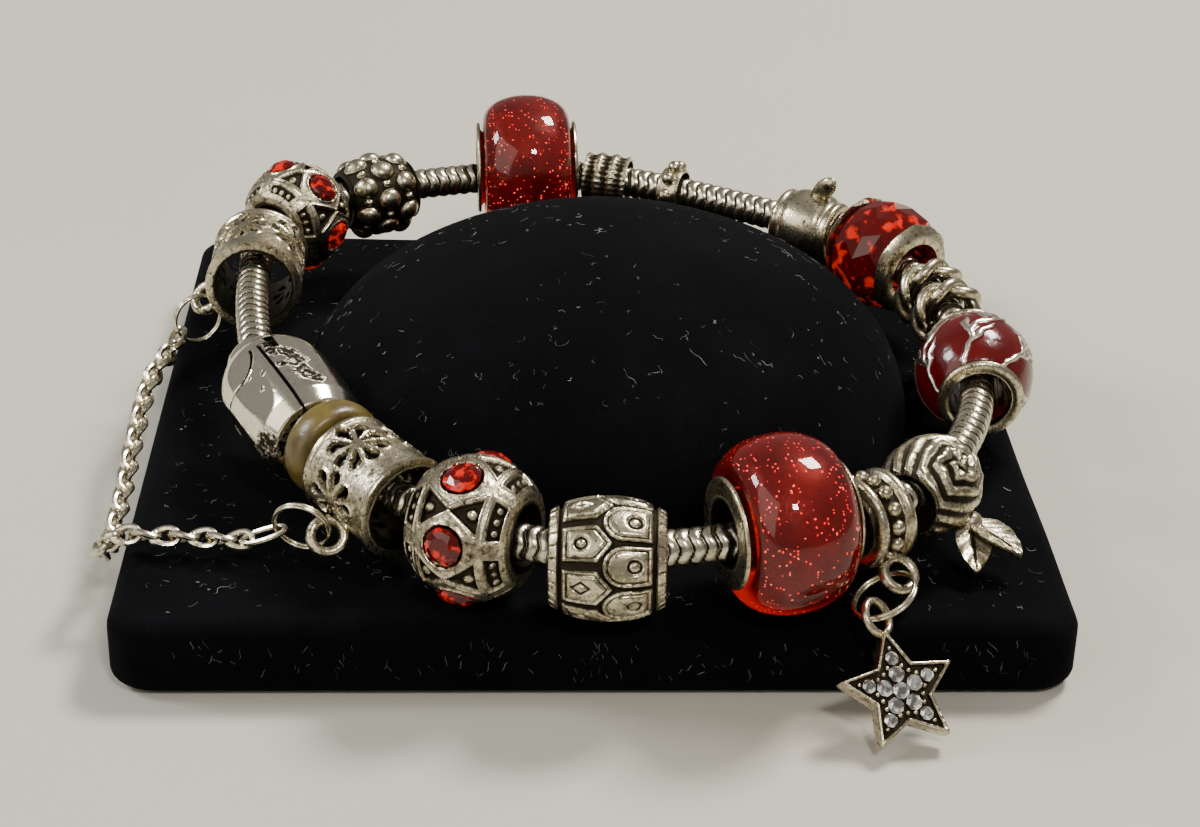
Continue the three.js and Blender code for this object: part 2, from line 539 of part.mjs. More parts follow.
// A barrel bead with a wavy groove round its middle, arches on one side of it and beads on the other
function barrelBead() {
  const [r, half, bore] = [BARREL_DIAMETER / 2, BARREL_LENGTH / 2, BARREL_BORE / 2];
  const body = turned([[bore, -half], [0.74 * r, -half], [0.78 * r, -0.93 * half], [0.9 * r, -0.7 * half],
    [r, -0.1 * half], [r, 0.1 * half], [0.9 * r, 0.7 * half], [0.78 * r, 0.93 * half], [0.74 * r, half],
    [bore, half]], 2 * ARCHES).rotate([90 / ARCHES, 0, 0]);
  const lean = Math.atan(0.1 * r / (0.6 * half));
  const step = fullTurn / ARCHES;
  const wide = r * Math.sin(step / 2);
  const arch = [[-0.26 * half, -0.5 * wide], [0.1 * half, -0.5 * wide], [0.3 * half, 0],
    [0.1 * half, 0.5 * wide], [-0.26 * half, 0.5 * wide]];
  const notch = [[-0.07 * half, -0.9 * wide], [0.07 * half, -0.9 * wide], [0.21 * half, 0],
    [0.07 * half, 0.9 * wide], [-0.07 * half, 0.9 * wide], [0.07 * half, 0]];
  const cuts = range(ARCHES).flatMap(i => [
    prism(arch, RELIEF_DEPTH, 1, onSide(-0.48 * half, i * step, 0.95 * r, -lean)),
    prism(notch, RELIEF_DEPTH, 1, onSide(0, i * step, 0.98 * r)),
  ]);
  const beads = dots(ARCHES, ARCH_DOT, 0.52 * half, 0.9 * r, 0.5);
  piece('barrel_bead', joined(cutBy(body, cuts), beads), OLD_SILVER, beadSeat('barrel_bead'));
}

// A glass bead on a flanged silver core
function glassBead(name) {
  const [r, half] = [GLASS_DIAMETER / 2, GLASS_WIDTH / 2];
  const tube = CORE_BORE / 2 + CORE_WALL;
  const hole = tube + GAP;
  const shoulder = (r + hole) / 2 - GLASS_SHOULDER;
  const rows = 8;
  const outside = range(rows + 1).map(i => {
    const angle = Math.PI * (i / rows - 0.5);
    const bulge = Math.sign(Math.sin(angle)) * Math.abs(Math.sin(angle)) ** 0.8;
    return [shoulder + (r - shoulder) * Math.cos(angle) ** 0.8, half * bulge];
  });
  const end = half - GLASS_CHAMFER;
  const glass = turned([[hole, -end], ...outside, [hole, end]], 14);
  const place = beadSeat(name);
  piece(name, glass, RED_GLASS, place);
  const [flange, bore] = [FLANGE_DIAMETER / 2, CORE_BORE / 2];
  const face = half + GAP;
  const side = [[bore, 0.6 * half], [tube, face + FLANGE_THICKNESS / 2], [flange, face + FLANGE_THICKNESS],
    [flange, face], [tube + GAP, face], [tube, 0.8 * half]];
  const other = side.map(([radius, along]) => [radius, -along]).reverse();
  piece(name.replace('glass', 'core'), turned([...side, ...other], 12), OLD_SILVER, place);
}

// A spacer of two plain rings with a row of small balls between them, and a loop for the star
function bailSpacer() {
  const [r, half, bore] = [SPACER_DIAMETER / 2, SPACER_LENGTH / 2, SPACER_BORE / 2];
  const [edge, floor] = [r - SPACER_EDGE, r - SPACER_GROOVE];
  const body = turned([[bore, -half], [edge, -half], [r, -0.8 * half], [edge, -0.5 * half],
    [floor, -0.4 * half], [floor, 0.4 * half], [edge, 0.5 * half], [r, 0.8 * half], [edge, half],
    [bore, half]], 12);
  const balls = dots(SPACER_DOTS, DOT_DIAMETER, 0, floor + SPACER_EDGE);
  const angle = SPACER_LOOP_ANGLE * degrees;
  const w = LOOP_WIRE / 2;
  const foot = prism([[-w, -w], [w, -w], [w, w], [-w, w]], 2 * SPACER_GROOVE, 0, onSide(0, angle, r));
  const loop = sideLoop(angle, r, SPACER_LOOP_TURN);
  piece('bail_spacer', joined(body, balls, foot, loop), OLD_SILVER, beadSeat('bail_spacer'));
}

// A rosebud bead: a bored ball wrapped in petals, and two leaves spread from a knot under it
function rosebud() {
  const [r, half, bore] = [ROSE_DIAMETER / 2, ROSE_LENGTH / 2, ROSE_BORE / 2];
  const ball = turned([[bore, -half], [0.74 * r, -half], [0.94 * r, -0.5 * half], [r, 0],
    [0.94 * r, 0.5 * half], [0.74 * r, half], [bore, half]]);
  const bloom = range(BUD_PETALS).map(i => {
    const spin = fullTurn * i / BUD_PETALS;
    const angle = (ROSE_FACE + BUD_SPREAD * Math.cos(spin)) * degrees;
    const x = 0.42 * half * Math.sin(spin);
    const petal = new THREE.SphereGeometry(0.42 * r, 6, 4).scale(1, 1, 0.6);
    return solid(petal.rotateX(0.5 * Math.cos(spin)).applyMatrix4(onSide(x, angle, r)));
  });
  const knotPlace = onSide(0.34 * half, ROSE_KNOT * degrees, r + 0.3);
  const knot = solid(new THREE.SphereGeometry(0.24 * r, 6, 4).applyMatrix4(knotPlace));
  const leafShape = new THREE.Shape();
  leafShape.moveTo(0, 0);
  leafShape.quadraticCurveTo(0.35 * LEAF_LENGTH, 0.9 * LEAF_WIDTH, LEAF_LENGTH, 0.08 * LEAF_WIDTH);
  leafShape.quadraticCurveTo(0.55 * LEAF_LENGTH, -0.75 * LEAF_WIDTH, 0, 0);
  const leaves = ROSE_LEAVES.map(direction => {
    const leaf = new THREE.ExtrudeGeometry(leafShape, {
      depth: LEAF_THICKNESS / 3,
      bevelThickness: LEAF_THICKNESS / 3,
      bevelSize: LEAF_THICKNESS / 3,
      bevelSegments: 1,
      curveSegments: 3,
    });
    const point = new THREE.Vector3(...direction).normalize();
    const face = new THREE.Vector3(0, 0, 1).addScaledVector(point, -point.z).normalize();
    const lay = new THREE.Matrix4().makeBasis(point, new THREE.Vector3().crossVectors(face, point), face);
    lay.setPosition(new THREE.Vector3().setFromMatrixPosition(knotPlace));
    return solid(leaf.applyMatrix4(lay));
  });
  const body = joined(ball, bloom, knot, leaves).subtract(drill(ROSE_BORE, 2 * ROSE_LENGTH));
  piece('rosebud_bead', body, OLD_SILVER, beadSeat('rosebud_bead'));
}

// A red enamelled bead with raised silver twigs and a silver rim round each end of its bore
function enamelBead() {
  const [r, half, bore] = [ENAMEL_DIAMETER / 2, ENAMEL_LENGTH / 2, ENAMEL_BORE / 2];
  const body = turned([[bore, -half], [bore + 0.9, -half], [0.82 * r, -0.72 * half], [0.97 * r, -0.34 * half],
    [r, 0], [0.97 * r, 0.34 * half], [0.82 * r, 0.72 * half], [bore + 0.9, half], [bore, half]]);
  const place = beadSeat('enamel_bead');
  piece('enamel_bead', body, RED_ENAMEL, place);
  const [near, far] = [half + GAP, half + GAP + RIM_WIDTH];
  const rims = [-1, 1].map(side => turned([[bore, side * near], [bore + RIM_WALL, side * near],
    [bore + 0.8 * RIM_WALL, side * far], [bore + 0.3 * RIM_WALL, side * far]]));
  rims.forEach((rim, i) => piece(`enamel_rim_${i + 1}`, rim, OLD_SILVER, place));
}

// A spacer that is two crossed turns of wire
function knotSpacer(name) {
  const [bore, half] = [CHAIN_DIAMETER / 2 + BEAD_PLAY, KNOT_LENGTH / 2];
  const r = KNOT_DIAMETER / 2;
  const profile = lean => turned([[bore, -half / 2], [r - 0.4, -half / 2], [r, 0], [r - 0.4, half / 2],
    [bore, half / 2]], 10).rotate([0, 0, lean]);
  const body = profile(KNOT_LEAN).add(profile(-KNOT_LEAN)).subtract(drill(2 * bore, KNOT_DIAMETER));
  piece(name, body, OLD_SILVER, beadSeat(name));
}

// A red crystal bead between two silver caps, the crystal cut in flat facets
function crystalBead() {
  const [r, half, bore] = [CRYSTAL_DIAMETER / 2, CRYSTAL_LENGTH / 2, CRYSTAL_BORE / 2];
  const inner = half - CAP_THICKNESS - GAP;
  const body = turned([[bore, -inner], [0.8 * r, -inner], [r, -0.35 * inner], [r, 0.35 * inner],
    [0.8 * r, inner], [bore, inner]], 14);
  const place = beadSeat('crystal_bead');
  piece('crystal_bead', body, RED_STONE, place);
  [-1, 1].forEach((side, i) => {
    const cap = turned([[bore, side * (half - CAP_THICKNESS)], [0.86 * r, side * (half - CAP_THICKNESS)],
      [0.74 * r, side * (half - 0.3 * CAP_THICKNESS)], [bore + 0.4, side * half], [bore, side * half]]);
    piece(`crystal_cap_${i + 1}`, cap, OLD_SILVER, place);
  });
}

// A plain silver bead with a curved tab standing on it
function urnBead() {
  const [r, half, bore] = [URN_DIAMETER / 2, URN_LENGTH / 2, URN_BORE / 2];
  const body = turned([[bore, -half], [0.8 * r, -half], [r, -0.4 * half], [r, 0.4 * half], [0.8 * r, half],
    [bore, half]]);
  const tab = new THREE.CapsuleGeometry(0.28 * TAB_HEIGHT, TAB_HEIGHT, 3, 8).scale(1.5, 1, 0.8)
    .rotateX(Math.PI / 2).rotateY(-TAB_LEAN * degrees)
    .applyMatrix4(onSide(-0.35 * half, 0, r + 0.3 * TAB_HEIGHT));
  piece('urn_bead', body.add(solid(tab)), OLD_SILVER, beadSeat('urn_bead'));
}

// A ring of balls round the chain
function beadedRing() {
  const bore = CHAIN_DIAMETER / 2 + BEAD_PLAY;
  const [hoop, half] = [BEADED_DIAMETER / 2 - 0.4 * BEADED_BALL, BEADED_LENGTH / 2];
  const ringBody = turned([[bore, -half], [hoop, -half], [hoop, half], [bore, half]], 10);
  const balls = dots(BEADED_BALLS, BEADED_BALL, 0, hoop + 0.2 * BEADED_BALL);
  piece('beaded_ring', joined(ringBody, balls), OLD_SILVER, beadSeat('beaded_ring'));
}

// A sleeve with ribs across it
function ribbedSleeve() {
  const [r, half] = [SLEEVE_DIAMETER / 2, SLEEVE_LENGTH / 2];
  const bore = CHAIN_DIAMETER / 2 + BEAD_PLAY;
  const wave = range(2 * SLEEVE_RIBS + 1).map(i =>
    [r - (i % 2 ? 0 : SLEEVE_RELIEF), (i / SLEEVE_RIBS - 1) * half]);
  piece('ribbed_sleeve', turned([[bore, -half], ...wave, [bore, half]], 12), OLD_SILVER,
    beadSeat('ribbed_sleeve'));
}

// A cast bead with two rows of pebbles
function texturedBead() {
  const [r, half, bore] = [TEXTURED_DIAMETER / 2, TEXTURED_LENGTH / 2, TEXTURED_BORE / 2];
  const cast = turned([[bore, -half], [0.72 * r, -half], [0.96 * r, -0.45 * half], [0.96 * r, 0.45 * half],
    [0.72 * r, half], [bore, half]]);
  const pebbles = [-0.3, 0.3].flatMap((row, i) =>
    dots(PEBBLES, PEBBLE_DIAMETER, row * half, 0.84 * r, i / 2));
  piece('textured_bead', joined(cast, pebbles), OLD_SILVER, beadSeat('textured_bead'));
}

// The middle of the loop on a bead's side
function loopMiddle(name, angle, diameter) {
  const side = onSide(0, angle, loopReach(diameter / 2));
  return new THREE.Vector3().setFromMatrixPosition(side).applyMatrix4(beadSeat(name));
}

// A jump ring threaded through a loop
function jumpRing(name, loop, directions) {
  const pull = new THREE.Vector3(...directions.pull).normalize();
  const facing = new THREE.Vector3(...directions.facing);
  const flat = facing.clone().addScaledVector(pull, -pull.dot(facing)).normalize();
  const wire = new THREE.Vector3().crossVectors(flat, pull);
  const middle = loop.clone().addScaledVector(pull, JUMP_DIAMETER / 2 - JUMP_WIRE / 2);
  const frame = new THREE.Matrix4().makeBasis(pull, wire, flat).setPosition(middle);
  piece(name, solid(ring(JUMP_DIAMETER, JUMP_WIRE)), OLD_SILVER, frame);
}

// A jump ring through the middles of two loops, its own middle a little to one side of them
function linkRing(name, first, second) {
  const line = second.clone().sub(first);
  const half = line.length() / 2;
  line.normalize();
  const aside = new THREE.Vector3(...STAR_RING_ASIDE);
  aside.addScaledVector(line, -line.dot(aside)).normalize();
  const middle = first.clone().add(second).multiplyScalar(0.5);
  middle.addScaledVector(aside, half * Math.sqrt(STAR_RING_EASE ** 2 - 1));
  const flat = new THREE.Vector3().crossVectors(aside, line);
  const frame = new THREE.Matrix4().makeBasis(aside, line, flat).setPosition(middle);
  const diameter = 2 * half * STAR_RING_EASE + JUMP_WIRE;
  piece(name, solid(ring(diameter, JUMP_WIRE)), OLD_SILVER, frame);
}

// The safety chain's outer form, from one jump ring to the other
function safetyChain() {
  const spots = SAFETY_ROUTE.map(p => new THREE.Vector3(...p));
  const path = new THREE.CatmullRomCurve3(spots, false, 'centripetal');
  const steps = Math.round(path.getLength() / LINK_CHAIN_DIAMETER);
  piece('safety_chain', tube(path, LINK_CHAIN_DIAMETER, steps), OLD_SILVER);
}

// The star's own frame: X to its right, Y to its top, Z out of its face
function starFrame() {
  const up = new THREE.Vector3(...STAR_TOP).sub(new THREE.Vector3(...STAR_FOOT)).normalize();
  const out = new THREE.Vector3(...STAR_FACING);
  out.addScaledVector(up, -out.dot(up)).normalize();
  const right = new THREE.Vector3().crossVectors(up, out);
  return new THREE.Matrix4().makeBasis(right, up, out).setPosition(...STAR_MIDDLE);
}

// The star charm in its own plane: a raised rim round a sunk face that is set with clear stones
function starCharm() {
  const outline = reach => range(10).map(i => {
    const radius = i % 2 ? reach * STAR_WAIST : reach;
    const angle = Math.PI / 2 + i * Math.PI / 5;
    return [radius * Math.cos(angle), radius * Math.sin(angle)];
  });
  const flat = new THREE.Matrix4();
  const plate = prism(outline(STAR_REACH), STAR_THICKNESS / 2, STAR_THICKNESS / 2, flat);
  const face = prism(outline(STAR_REACH - 2.2 * STAR_RIM), 0, STAR_THICKNESS, flat);
  const spots = [[0, 0], ...range(5).map(i => {
    const angle = Math.PI / 2 + fullTurn * i / 5;
    return [STAR_SPREAD * STAR_REACH * Math.cos(angle), STAR_SPREAD * STAR_REACH * Math.sin(angle)];
  })];
  const stones = spots.map(([x, y]) =>
    cutStone(STAR_STONE, new THREE.Matrix4().makeTranslation(x, y, 0.3 * STAR_STONE)));
  const bail = solid(ring(STAR_LOOP, STAR_LOOP_WIRE).rotateY(STAR_LOOP_TURN * degrees)
    .translate(0, STAR_LOOP_HEIGHT, 0));
  piece('star_charm', joined(plate.subtract(face), stones, bail), OLD_SILVER, starFrame());
}

stand();
snakeChain();
clasp();
stopper();
for (const name of ['holder_front', 'holder_back']) {
  holder(name, HOLDER_LOOP_ANGLE * degrees, HOLDER_LOOP_TURN);
}
ballBead('ball_front', STONE_TWIST, 1);
ballBead('ball_back', STONE_TWIST, BACK_BALL_SIZE);
barrelBead();
glassBead('glass_front');
glassBead('glass_back');
bailSpacer();
rosebud();
enamelBead();
knotSpacer('knot_spacer_1');
knotSpacer('knot_spacer_2');
crystalBead();
urnBead();
beadedRing();
ribbedSleeve();
texturedBead();
const frontLoop = loopMiddle('holder_front', HOLDER_LOOP_ANGLE * degrees, HOLDER_DIAMETER);
const backLoop = loopMiddle('holder_back', HOLDER_LOOP_ANGLE * degrees, HOLDER_DIAMETER);
const starLoop = loopMiddle('bail_spacer', SPACER_LOOP_ANGLE * degrees, SPACER_DIAMETER);
jumpRing('jump_ring_front', frontLoop, FRONT_RING);
jumpRing('jump_ring_back', backLoop, BACK_RING);
const bailMiddle = new THREE.Vector3(0, STAR_LOOP_HEIGHT, 0).applyMatrix4(starFrame());
linkRing('star_ring', starLoop, bailMiddle);
safetyChain();
starCharm();

export default bracelet;
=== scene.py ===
# %% [markdown]
# A charm bracelet lies closed round the low mound of a black velvet display stand.
# The imported solids come in first and stay where they are. Everything below adds surface: it makes
# a finer piece, with a finish of its own, in the same place as a solid.

# %% Load the frame
import math

import bmesh
import bpy
import numpy as np
from mathutils import Matrix, Vector


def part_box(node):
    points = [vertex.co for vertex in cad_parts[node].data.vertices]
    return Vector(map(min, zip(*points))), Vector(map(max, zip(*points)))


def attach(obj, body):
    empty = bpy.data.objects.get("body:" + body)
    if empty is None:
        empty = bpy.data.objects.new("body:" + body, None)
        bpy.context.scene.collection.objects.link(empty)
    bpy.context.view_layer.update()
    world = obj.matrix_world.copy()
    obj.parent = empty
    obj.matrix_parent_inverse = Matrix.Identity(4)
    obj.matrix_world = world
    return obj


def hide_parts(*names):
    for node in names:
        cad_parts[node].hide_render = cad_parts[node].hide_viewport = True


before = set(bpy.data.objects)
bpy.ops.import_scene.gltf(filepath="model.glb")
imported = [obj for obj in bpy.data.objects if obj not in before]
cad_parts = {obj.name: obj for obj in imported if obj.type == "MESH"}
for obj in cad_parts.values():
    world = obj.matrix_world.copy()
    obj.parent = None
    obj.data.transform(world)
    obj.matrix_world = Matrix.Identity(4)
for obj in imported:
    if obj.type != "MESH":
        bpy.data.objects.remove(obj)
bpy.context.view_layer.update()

MM = 0.001


def placed(name, data):
    """A new object in the scene."""
    thing = bpy.data.objects.new(name, data)
    bpy.context.scene.collection.objects.link(thing)
    return thing


print("solids in the frame:", len(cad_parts))

# %% [markdown]
# The camera looks down at the bracelet from the front with a long lens, as for a picture of jewellery.
# Its axes are worked out from three angles, so it can be set without tilting it by hand.

# %% Camera
EYE = np.array([-7.6233, -201.6842, 111.4448])  # millimetres
ELEVATION, AZIMUTH, ROLL = np.radians([27.705, -2.587, 1.393])
LENS, SENSOR, NEAREST = 74.7, 36.0, 0.01  # the first two in millimetres, the last in metres
level = np.array([np.cos(AZIMUTH), np.sin(AZIMUTH), 0.0])
forward = np.array([-np.sin(AZIMUTH), np.cos(AZIMUTH), 0.0])
ahead = np.cos(ELEVATION) * forward - np.array([0, 0, np.sin(ELEVATION)])
upright = np.cross(level, ahead)
camera = placed("camera", bpy.data.cameras.new("camera"))
turned_right = np.cos(ROLL) * level + np.sin(ROLL) * upright
turned_up = np.cos(ROLL) * upright - np.sin(ROLL) * level
axes = Matrix([[turned_right[i], turned_up[i], -ahead[i]] for i in range(3)])
camera.matrix_world = Matrix.Translation(Vector(EYE * MM)) @ axes.to_4x4()
camera.data.lens, camera.data.sensor_width, camera.data.clip_start = LENS, SENSOR, NEAREST
bpy.context.scene.camera = camera
print("camera at", [round(v, 1) for v in EYE], "mm")

# %% [markdown]
# Polished silver is a picture of its room: it needs large soft lights to mirror, and some darkness
# between them, or it turns flat grey. Four area lights do that over a dim, even world.

# %% Lights
world = bpy.data.worlds.new("room")
world.use_nodes = True
background = world.node_tree.nodes["Background"].inputs
background["Color"].default_value, background["Strength"].default_value = (1.0, 0.97, 0.93, 1), 0.26
bpy.context.scene.world = world

MIDDLE = Vector((0, 0, 0.01))
SOFTBOXES = {  # name: place and side in metres, watts, colour
    "key_right_back": ((0.26, 0.22, 0.52), 0.16, 6.2, (1.0, 0.96, 0.88)),
    "from_left": ((-0.46, 0.05, 0.36), 0.14, 2.2, (0.93, 0.97, 1.0)),
    "from_front": ((0.10, -0.40, 0.46), 0.07, 1.9, (1.0, 0.96, 0.9)),
    "wide_left": ((-0.40, -0.30, 0.30), 0.50, 1.5, (1.0, 0.95, 0.82)),
}
for name, (place, side, watts, colour) in SOFTBOXES.items():
    light = bpy.data.lights.new(name, "AREA")
    light.size, light.energy, light.color = side, watts, colour
    lamp = placed(name, light)
    lamp.location = place
    lamp.rotation_euler = (MIDDLE - Vector(place)).to_track_quat("-Z", "Y").to_euler()
    print("light", name, watts, "W")

# %% [markdown]
# A surface here is a grid of points worked out all at once with numpy. A few helpers turn grids into
# closed pieces: one numbers the corners of the grid's cells, one turns the faces outwards by the sign
# of the volume they close, and one joins several grids into a mesh that rides on its body.

# %% Grids into pieces
FULL = 2 * np.pi
SAME_POINT, NO_LENGTH = 2e-7, 1e-8  # metres


def unit(vectors):
    """Each vector divided by its own length."""
    return vectors / np.maximum(np.linalg.norm(vectors, axis=-1, keepdims=True), 1e-12)


def smooth(low, high, x):
    """Zero below low, one above high, and 3t^2 - 2t^3 between."""
    t = np.clip((x - low) / (high - low), 0, 1)
    return t * t * (3 - 2 * t)


def peak(distance, width):
    """One at no distance, falling away as a bell: e to the minus (distance / width) squared."""
    return np.exp(-((distance / width) ** 2))


def circle(count):
    """Angles evenly round a circle."""
    return np.arange(count) / count * FULL


def about_x(x, radius, angle):
    """Points round a bead: x along the chain, and the angle runs from the top to the outside."""
    return np.stack(np.broadcast_arrays(x, -radius * np.sin(angle), radius * np.cos(angle)), -1)


def polar(radius, angle, height=0):
    """Points at a radius, an angle from X towards Y, and a height."""
    return np.stack(np.broadcast_arrays(radius * np.cos(angle), radius * np.sin(angle), height), -1)


def lengths(points):
    """How far along a polyline each of its points lies."""
    return np.r_[0, np.cumsum(np.linalg.norm(np.diff(points, axis=0), axis=1))]


def points_at(distances, marks, points):
    """The places on a polyline at distances along it."""
    return np.stack([np.interp(distances, marks, column) for column in points.T], -1)


def sections(centres, first, second, radius, angle):
    """Rings of points about centres: radius times first cos plus second sin of each angle."""
    rim = first[:, None] * np.cos(angle)[None, :, None] + second[:, None] * np.sin(angle)[None, :, None]
    return centres[:, None] + rim * radius[..., None]


def mirrored(half):
    """A whole profile from its first half."""
    return half + [[-x, r] for x, r in half[::-1] if x]


def cells(rows, cols, wrap_rows):
    """The four corner numbers of each cell in a grid of rows by cols points, whose rows are rings."""
    r = np.arange(rows if wrap_rows else rows - 1)[:, None]
    c = np.arange(cols)[None, :]
    r2, c2 = (r + 1) % rows, (c + 1) % cols
    return np.stack([r * cols + c, r * cols + c2, r2 * cols + c2, r2 * cols + c], -1).reshape(-1, 4)


def part(points, wrap_rows=True, depth=0.0, mask=0.0, place=None, keep=None):
    """A closed grid as (points, faces, depth, mask), placed by a 4x4 matrix, with its faces outwards.
    depth is how deep in a hollow a point lies, from 0 to 1 (on the glass heart, a painted glow), and mask is
    free for a finish to use."""
    rows, cols = points.shape[:2]
    faces = cells(rows, cols, wrap_rows)
    if keep is not None:
        faces = faces[keep.reshape(-1)[faces].any(1)]
    flat = points.reshape(-1, 3).astype(float)
    depth, mask = (np.broadcast_to(v, (rows, cols)).reshape(-1) for v in (depth, mask))
    if place is not None:
        flat = flat @ place[:3, :3].T + place[:3, 3]
    a, b, c, d = (flat[faces[:, i]] - flat.mean(0) for i in range(4))
    volume = (np.cross(b, c) * a).sum() + (np.cross(c, d) * a).sum()
    return flat, faces[:, ::-1] if volume < 0 else faces, depth, mask


def points_of(mesh):
    """A mesh's points in millimetres."""
    co = np.zeros(len(mesh.vertices) * 3)
    mesh.vertices.foreach_get("co", co)
    return co.reshape(-1, 3) / MM


def store(mesh, title, values):
    """Keeps a number for each point on the mesh, for a finish to read."""
    mesh.attributes.new(title, "FLOAT", "POINT").data.foreach_set("value", values.astype(np.float32))


def piece(name, mesh, finish, replaces, sharp, body):
    """Makes a mesh an object that is smooth except at sharp edges, and puts it on its body."""
    mesh.shade_smooth()
    mesh.set_sharp_from_angle(angle=math.radians(sharp))
    mesh.materials.append(finish.material)
    thing = placed(name, mesh)
    if replaces:
        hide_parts(*replaces)
    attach(thing, body)
    print(f"{name}: {sum(len(p.vertices) - 2 for p in mesh.polygons)} triangles")


def make(name, parts, finish, replaces=(), sharp=40):
    """Joins parts into one mesh in metres. Its slot is its finish's."""
    starts = np.cumsum([0] + [len(p[0]) for p in parts])
    points = np.concatenate([p[0] for p in parts]) * MM
    faces = np.concatenate([p[1] + s for p, s in zip(parts, starts)])
    mesh = bpy.data.meshes.new(name)
    mesh.vertices.add(len(points))
    mesh.vertices.foreach_set("co", points.astype(np.float32).ravel())
    mesh.loops.add(faces.size)
    mesh.loops.foreach_set("vertex_index", faces.astype(np.int32).ravel())
    mesh.polygons.add(len(faces))
    mesh.polygons.foreach_set("loop_start", np.arange(0, faces.size, 4, dtype=np.int32))
    for title, column in (("depth", 2), ("mask", 3)):
        store(mesh, title, np.concatenate([p[column] for p in parts]))
    mesh.update(calc_edges=True)
    work = bmesh.new()
    work.from_mesh(mesh)
    bmesh.ops.remove_doubles(work, verts=work.verts, dist=SAME_POINT)
    bmesh.ops.dissolve_degenerate(work, edges=work.edges, dist=NO_LENGTH)
    work.to_mesh(mesh)
    work.free()
    piece(name, mesh, finish, replaces, sharp, "base")

# %% [markdown]
# The bracelet follows one closed line through space. The line is a centripetal Catmull-Rom curve, the
# same as the solids follow, so a bead that sits at a share of its length lands on its own solid.

# %% The chain's line and a bead's seat
CHAIN_LINE = [
    [-25.7, -14.0, 13.9], [-22.1, -20.6, 13.6], [-18.3, -26.0, 13.5], [-14.4, -30.4, 13.1],
    [-9.6, -33.7, 12.9], [-4.6, -35.9, 12.8], [0.7, -36.9, 12.8], [7.2, -36.4, 13.0],
    [13.8, -34.9, 13.2], [20.4, -32.2, 13.2], [25.4, -28.4, 13.2], [29.8, -22.4, 13.4],
    [32.6, -15.6, 13.7], [33.9, -8.4, 14.0], [33.7, -1.0, 14.3], [32.3, 5.8, 14.6],
    [29.4, 13.2, 15.0], [24.2, 19.2, 15.3], [17.8, 23.4, 15.6], [10.2, 27.4, 15.9],
    [2.9, 30.3, 16.1], [-4.7, 31.4, 16.1], [-12.0, 30.2, 15.9], [-19.0, 28.0, 15.8],
    [-26.0, 23.2, 15.9], [-29.8, 15.8, 15.8], [-30.2, 6.6, 15.8], [-29.4, -2.8, 15.3],
    [-28.3, -8.4, 14.7],
]


NEAR = 0.3  # how far to each side a direction is taken, in millimetres


def curve(points, closed, per=60):
    """Points along a centripetal Catmull-Rom curve: between two points it is the cubic whose end
    slopes weigh the neighbours by the square root of their distance."""
    p = np.asarray(points, float)
    if closed:
        p0, p1, p2, p3 = np.roll(p, 1, 0), p, np.roll(p, -1, 0), np.roll(p, -2, 0)
    else:
        q = np.vstack([2 * p[0] - p[1], p, 2 * p[-1] - p[-2]])
        p0, p1, p2, p3 = q[:-3], q[1:-2], q[2:-1], q[3:]
    pairs = (p0, p1), (p1, p2), (p2, p3)
    d1, d2, d3 = (np.sqrt(np.linalg.norm(b - a, axis=1))[:, None] for a, b in pairs)
    m1 = ((p1 - p0) / d1 - (p2 - p0) / (d1 + d2) + (p2 - p1) / d2) * d2
    m2 = ((p2 - p1) / d2 - (p3 - p1) / (d2 + d3) + (p3 - p2) / d3) * d2
    t = (np.arange(per) / per)[None, :, None]
    p1, p2, m1, m2 = (v[:, None, :] for v in (p1, p2, m1, m2))
    line = p1 + m1 * t + (3 * p2 - 3 * p1 - 2 * m1 - m2) * t**2 + (2 * p1 - 2 * p2 + m1 + m2) * t**3
    line = line.reshape(-1, 3)
    return np.vstack([line, p[:1] if closed else p[-1:]])


class Line:
    """A curve that is measured along its own length, in millimetres."""

    def __init__(self, points, closed):
        self.points, self.closed = curve(points, closed), closed
        self.marks = lengths(self.points)
        self.length = self.marks[-1]

    def at(self, s):
        """The points at distances s."""
        s = np.mod(s, self.length) if self.closed else s
        return points_at(s, self.marks, self.points)

    def along(self, s):
        """The unit direction at distances s, from points a little to both sides."""
        return unit(self.at(s + NEAR) - self.at(s - NEAR))

    def frames(self, s):
        """Direction along, direction inwards and direction up at distances s."""
        along = self.along(s)
        up = unit(np.array([0, 0, 1.0]) - along * along[..., 2:3])
        return along, np.cross(up, along), up


route = Line(CHAIN_LINE, True)
print("bracelet round the line:", round(route.length, 1), "mm")


def turn(axis, degrees):
    """A 4x4 turn about X, Y or Z."""
    m = np.eye(4)
    i, j = {"X": (1, 2), "Y": (2, 0), "Z": (0, 1)}[axis]
    c, s = math.cos(math.radians(degrees)), math.sin(math.radians(degrees))
    m[i, i], m[i, j], m[j, i], m[j, j] = c, -s, s, c
    return m


def frame_of(x, y, z, place):
    """A 4x4 frame from three directions and a place."""
    m = np.eye(4)
    m[:3, 0], m[:3, 1], m[:3, 2], m[:3, 3] = x, y, z, place
    return m


def move(x, y, z):
    """A 4x4 shift."""
    return frame_of([1, 0, 0], [0, 1, 0], [0, 0, 1], [x, y, z])


def seat(distance, lift=0, roll=0, turned=0, tip=0):
    """A bead's frame on the chain: X along it, Y into the ring, Z up, then raised and turned."""
    along, inward, up = (v[0] for v in route.frames(np.array([distance])))
    m = frame_of(along, inward, up, route.at(np.array([distance]))[0] + lift * up)
    return m @ turn("Z", turned) @ turn("Y", -tip) @ turn("X", roll)


def on_side(x, angle, radius):
    """A frame on a bead's side: X along the chain, Y round the bead, Z straight out of it.
    The angle runs from the top towards the outside of the ring."""
    out = np.array([0, -math.sin(angle), math.cos(angle)])
    along = np.array([1.0, 0, 0])
    return frame_of(along, np.cross(out, along), out, out * radius + along * x)


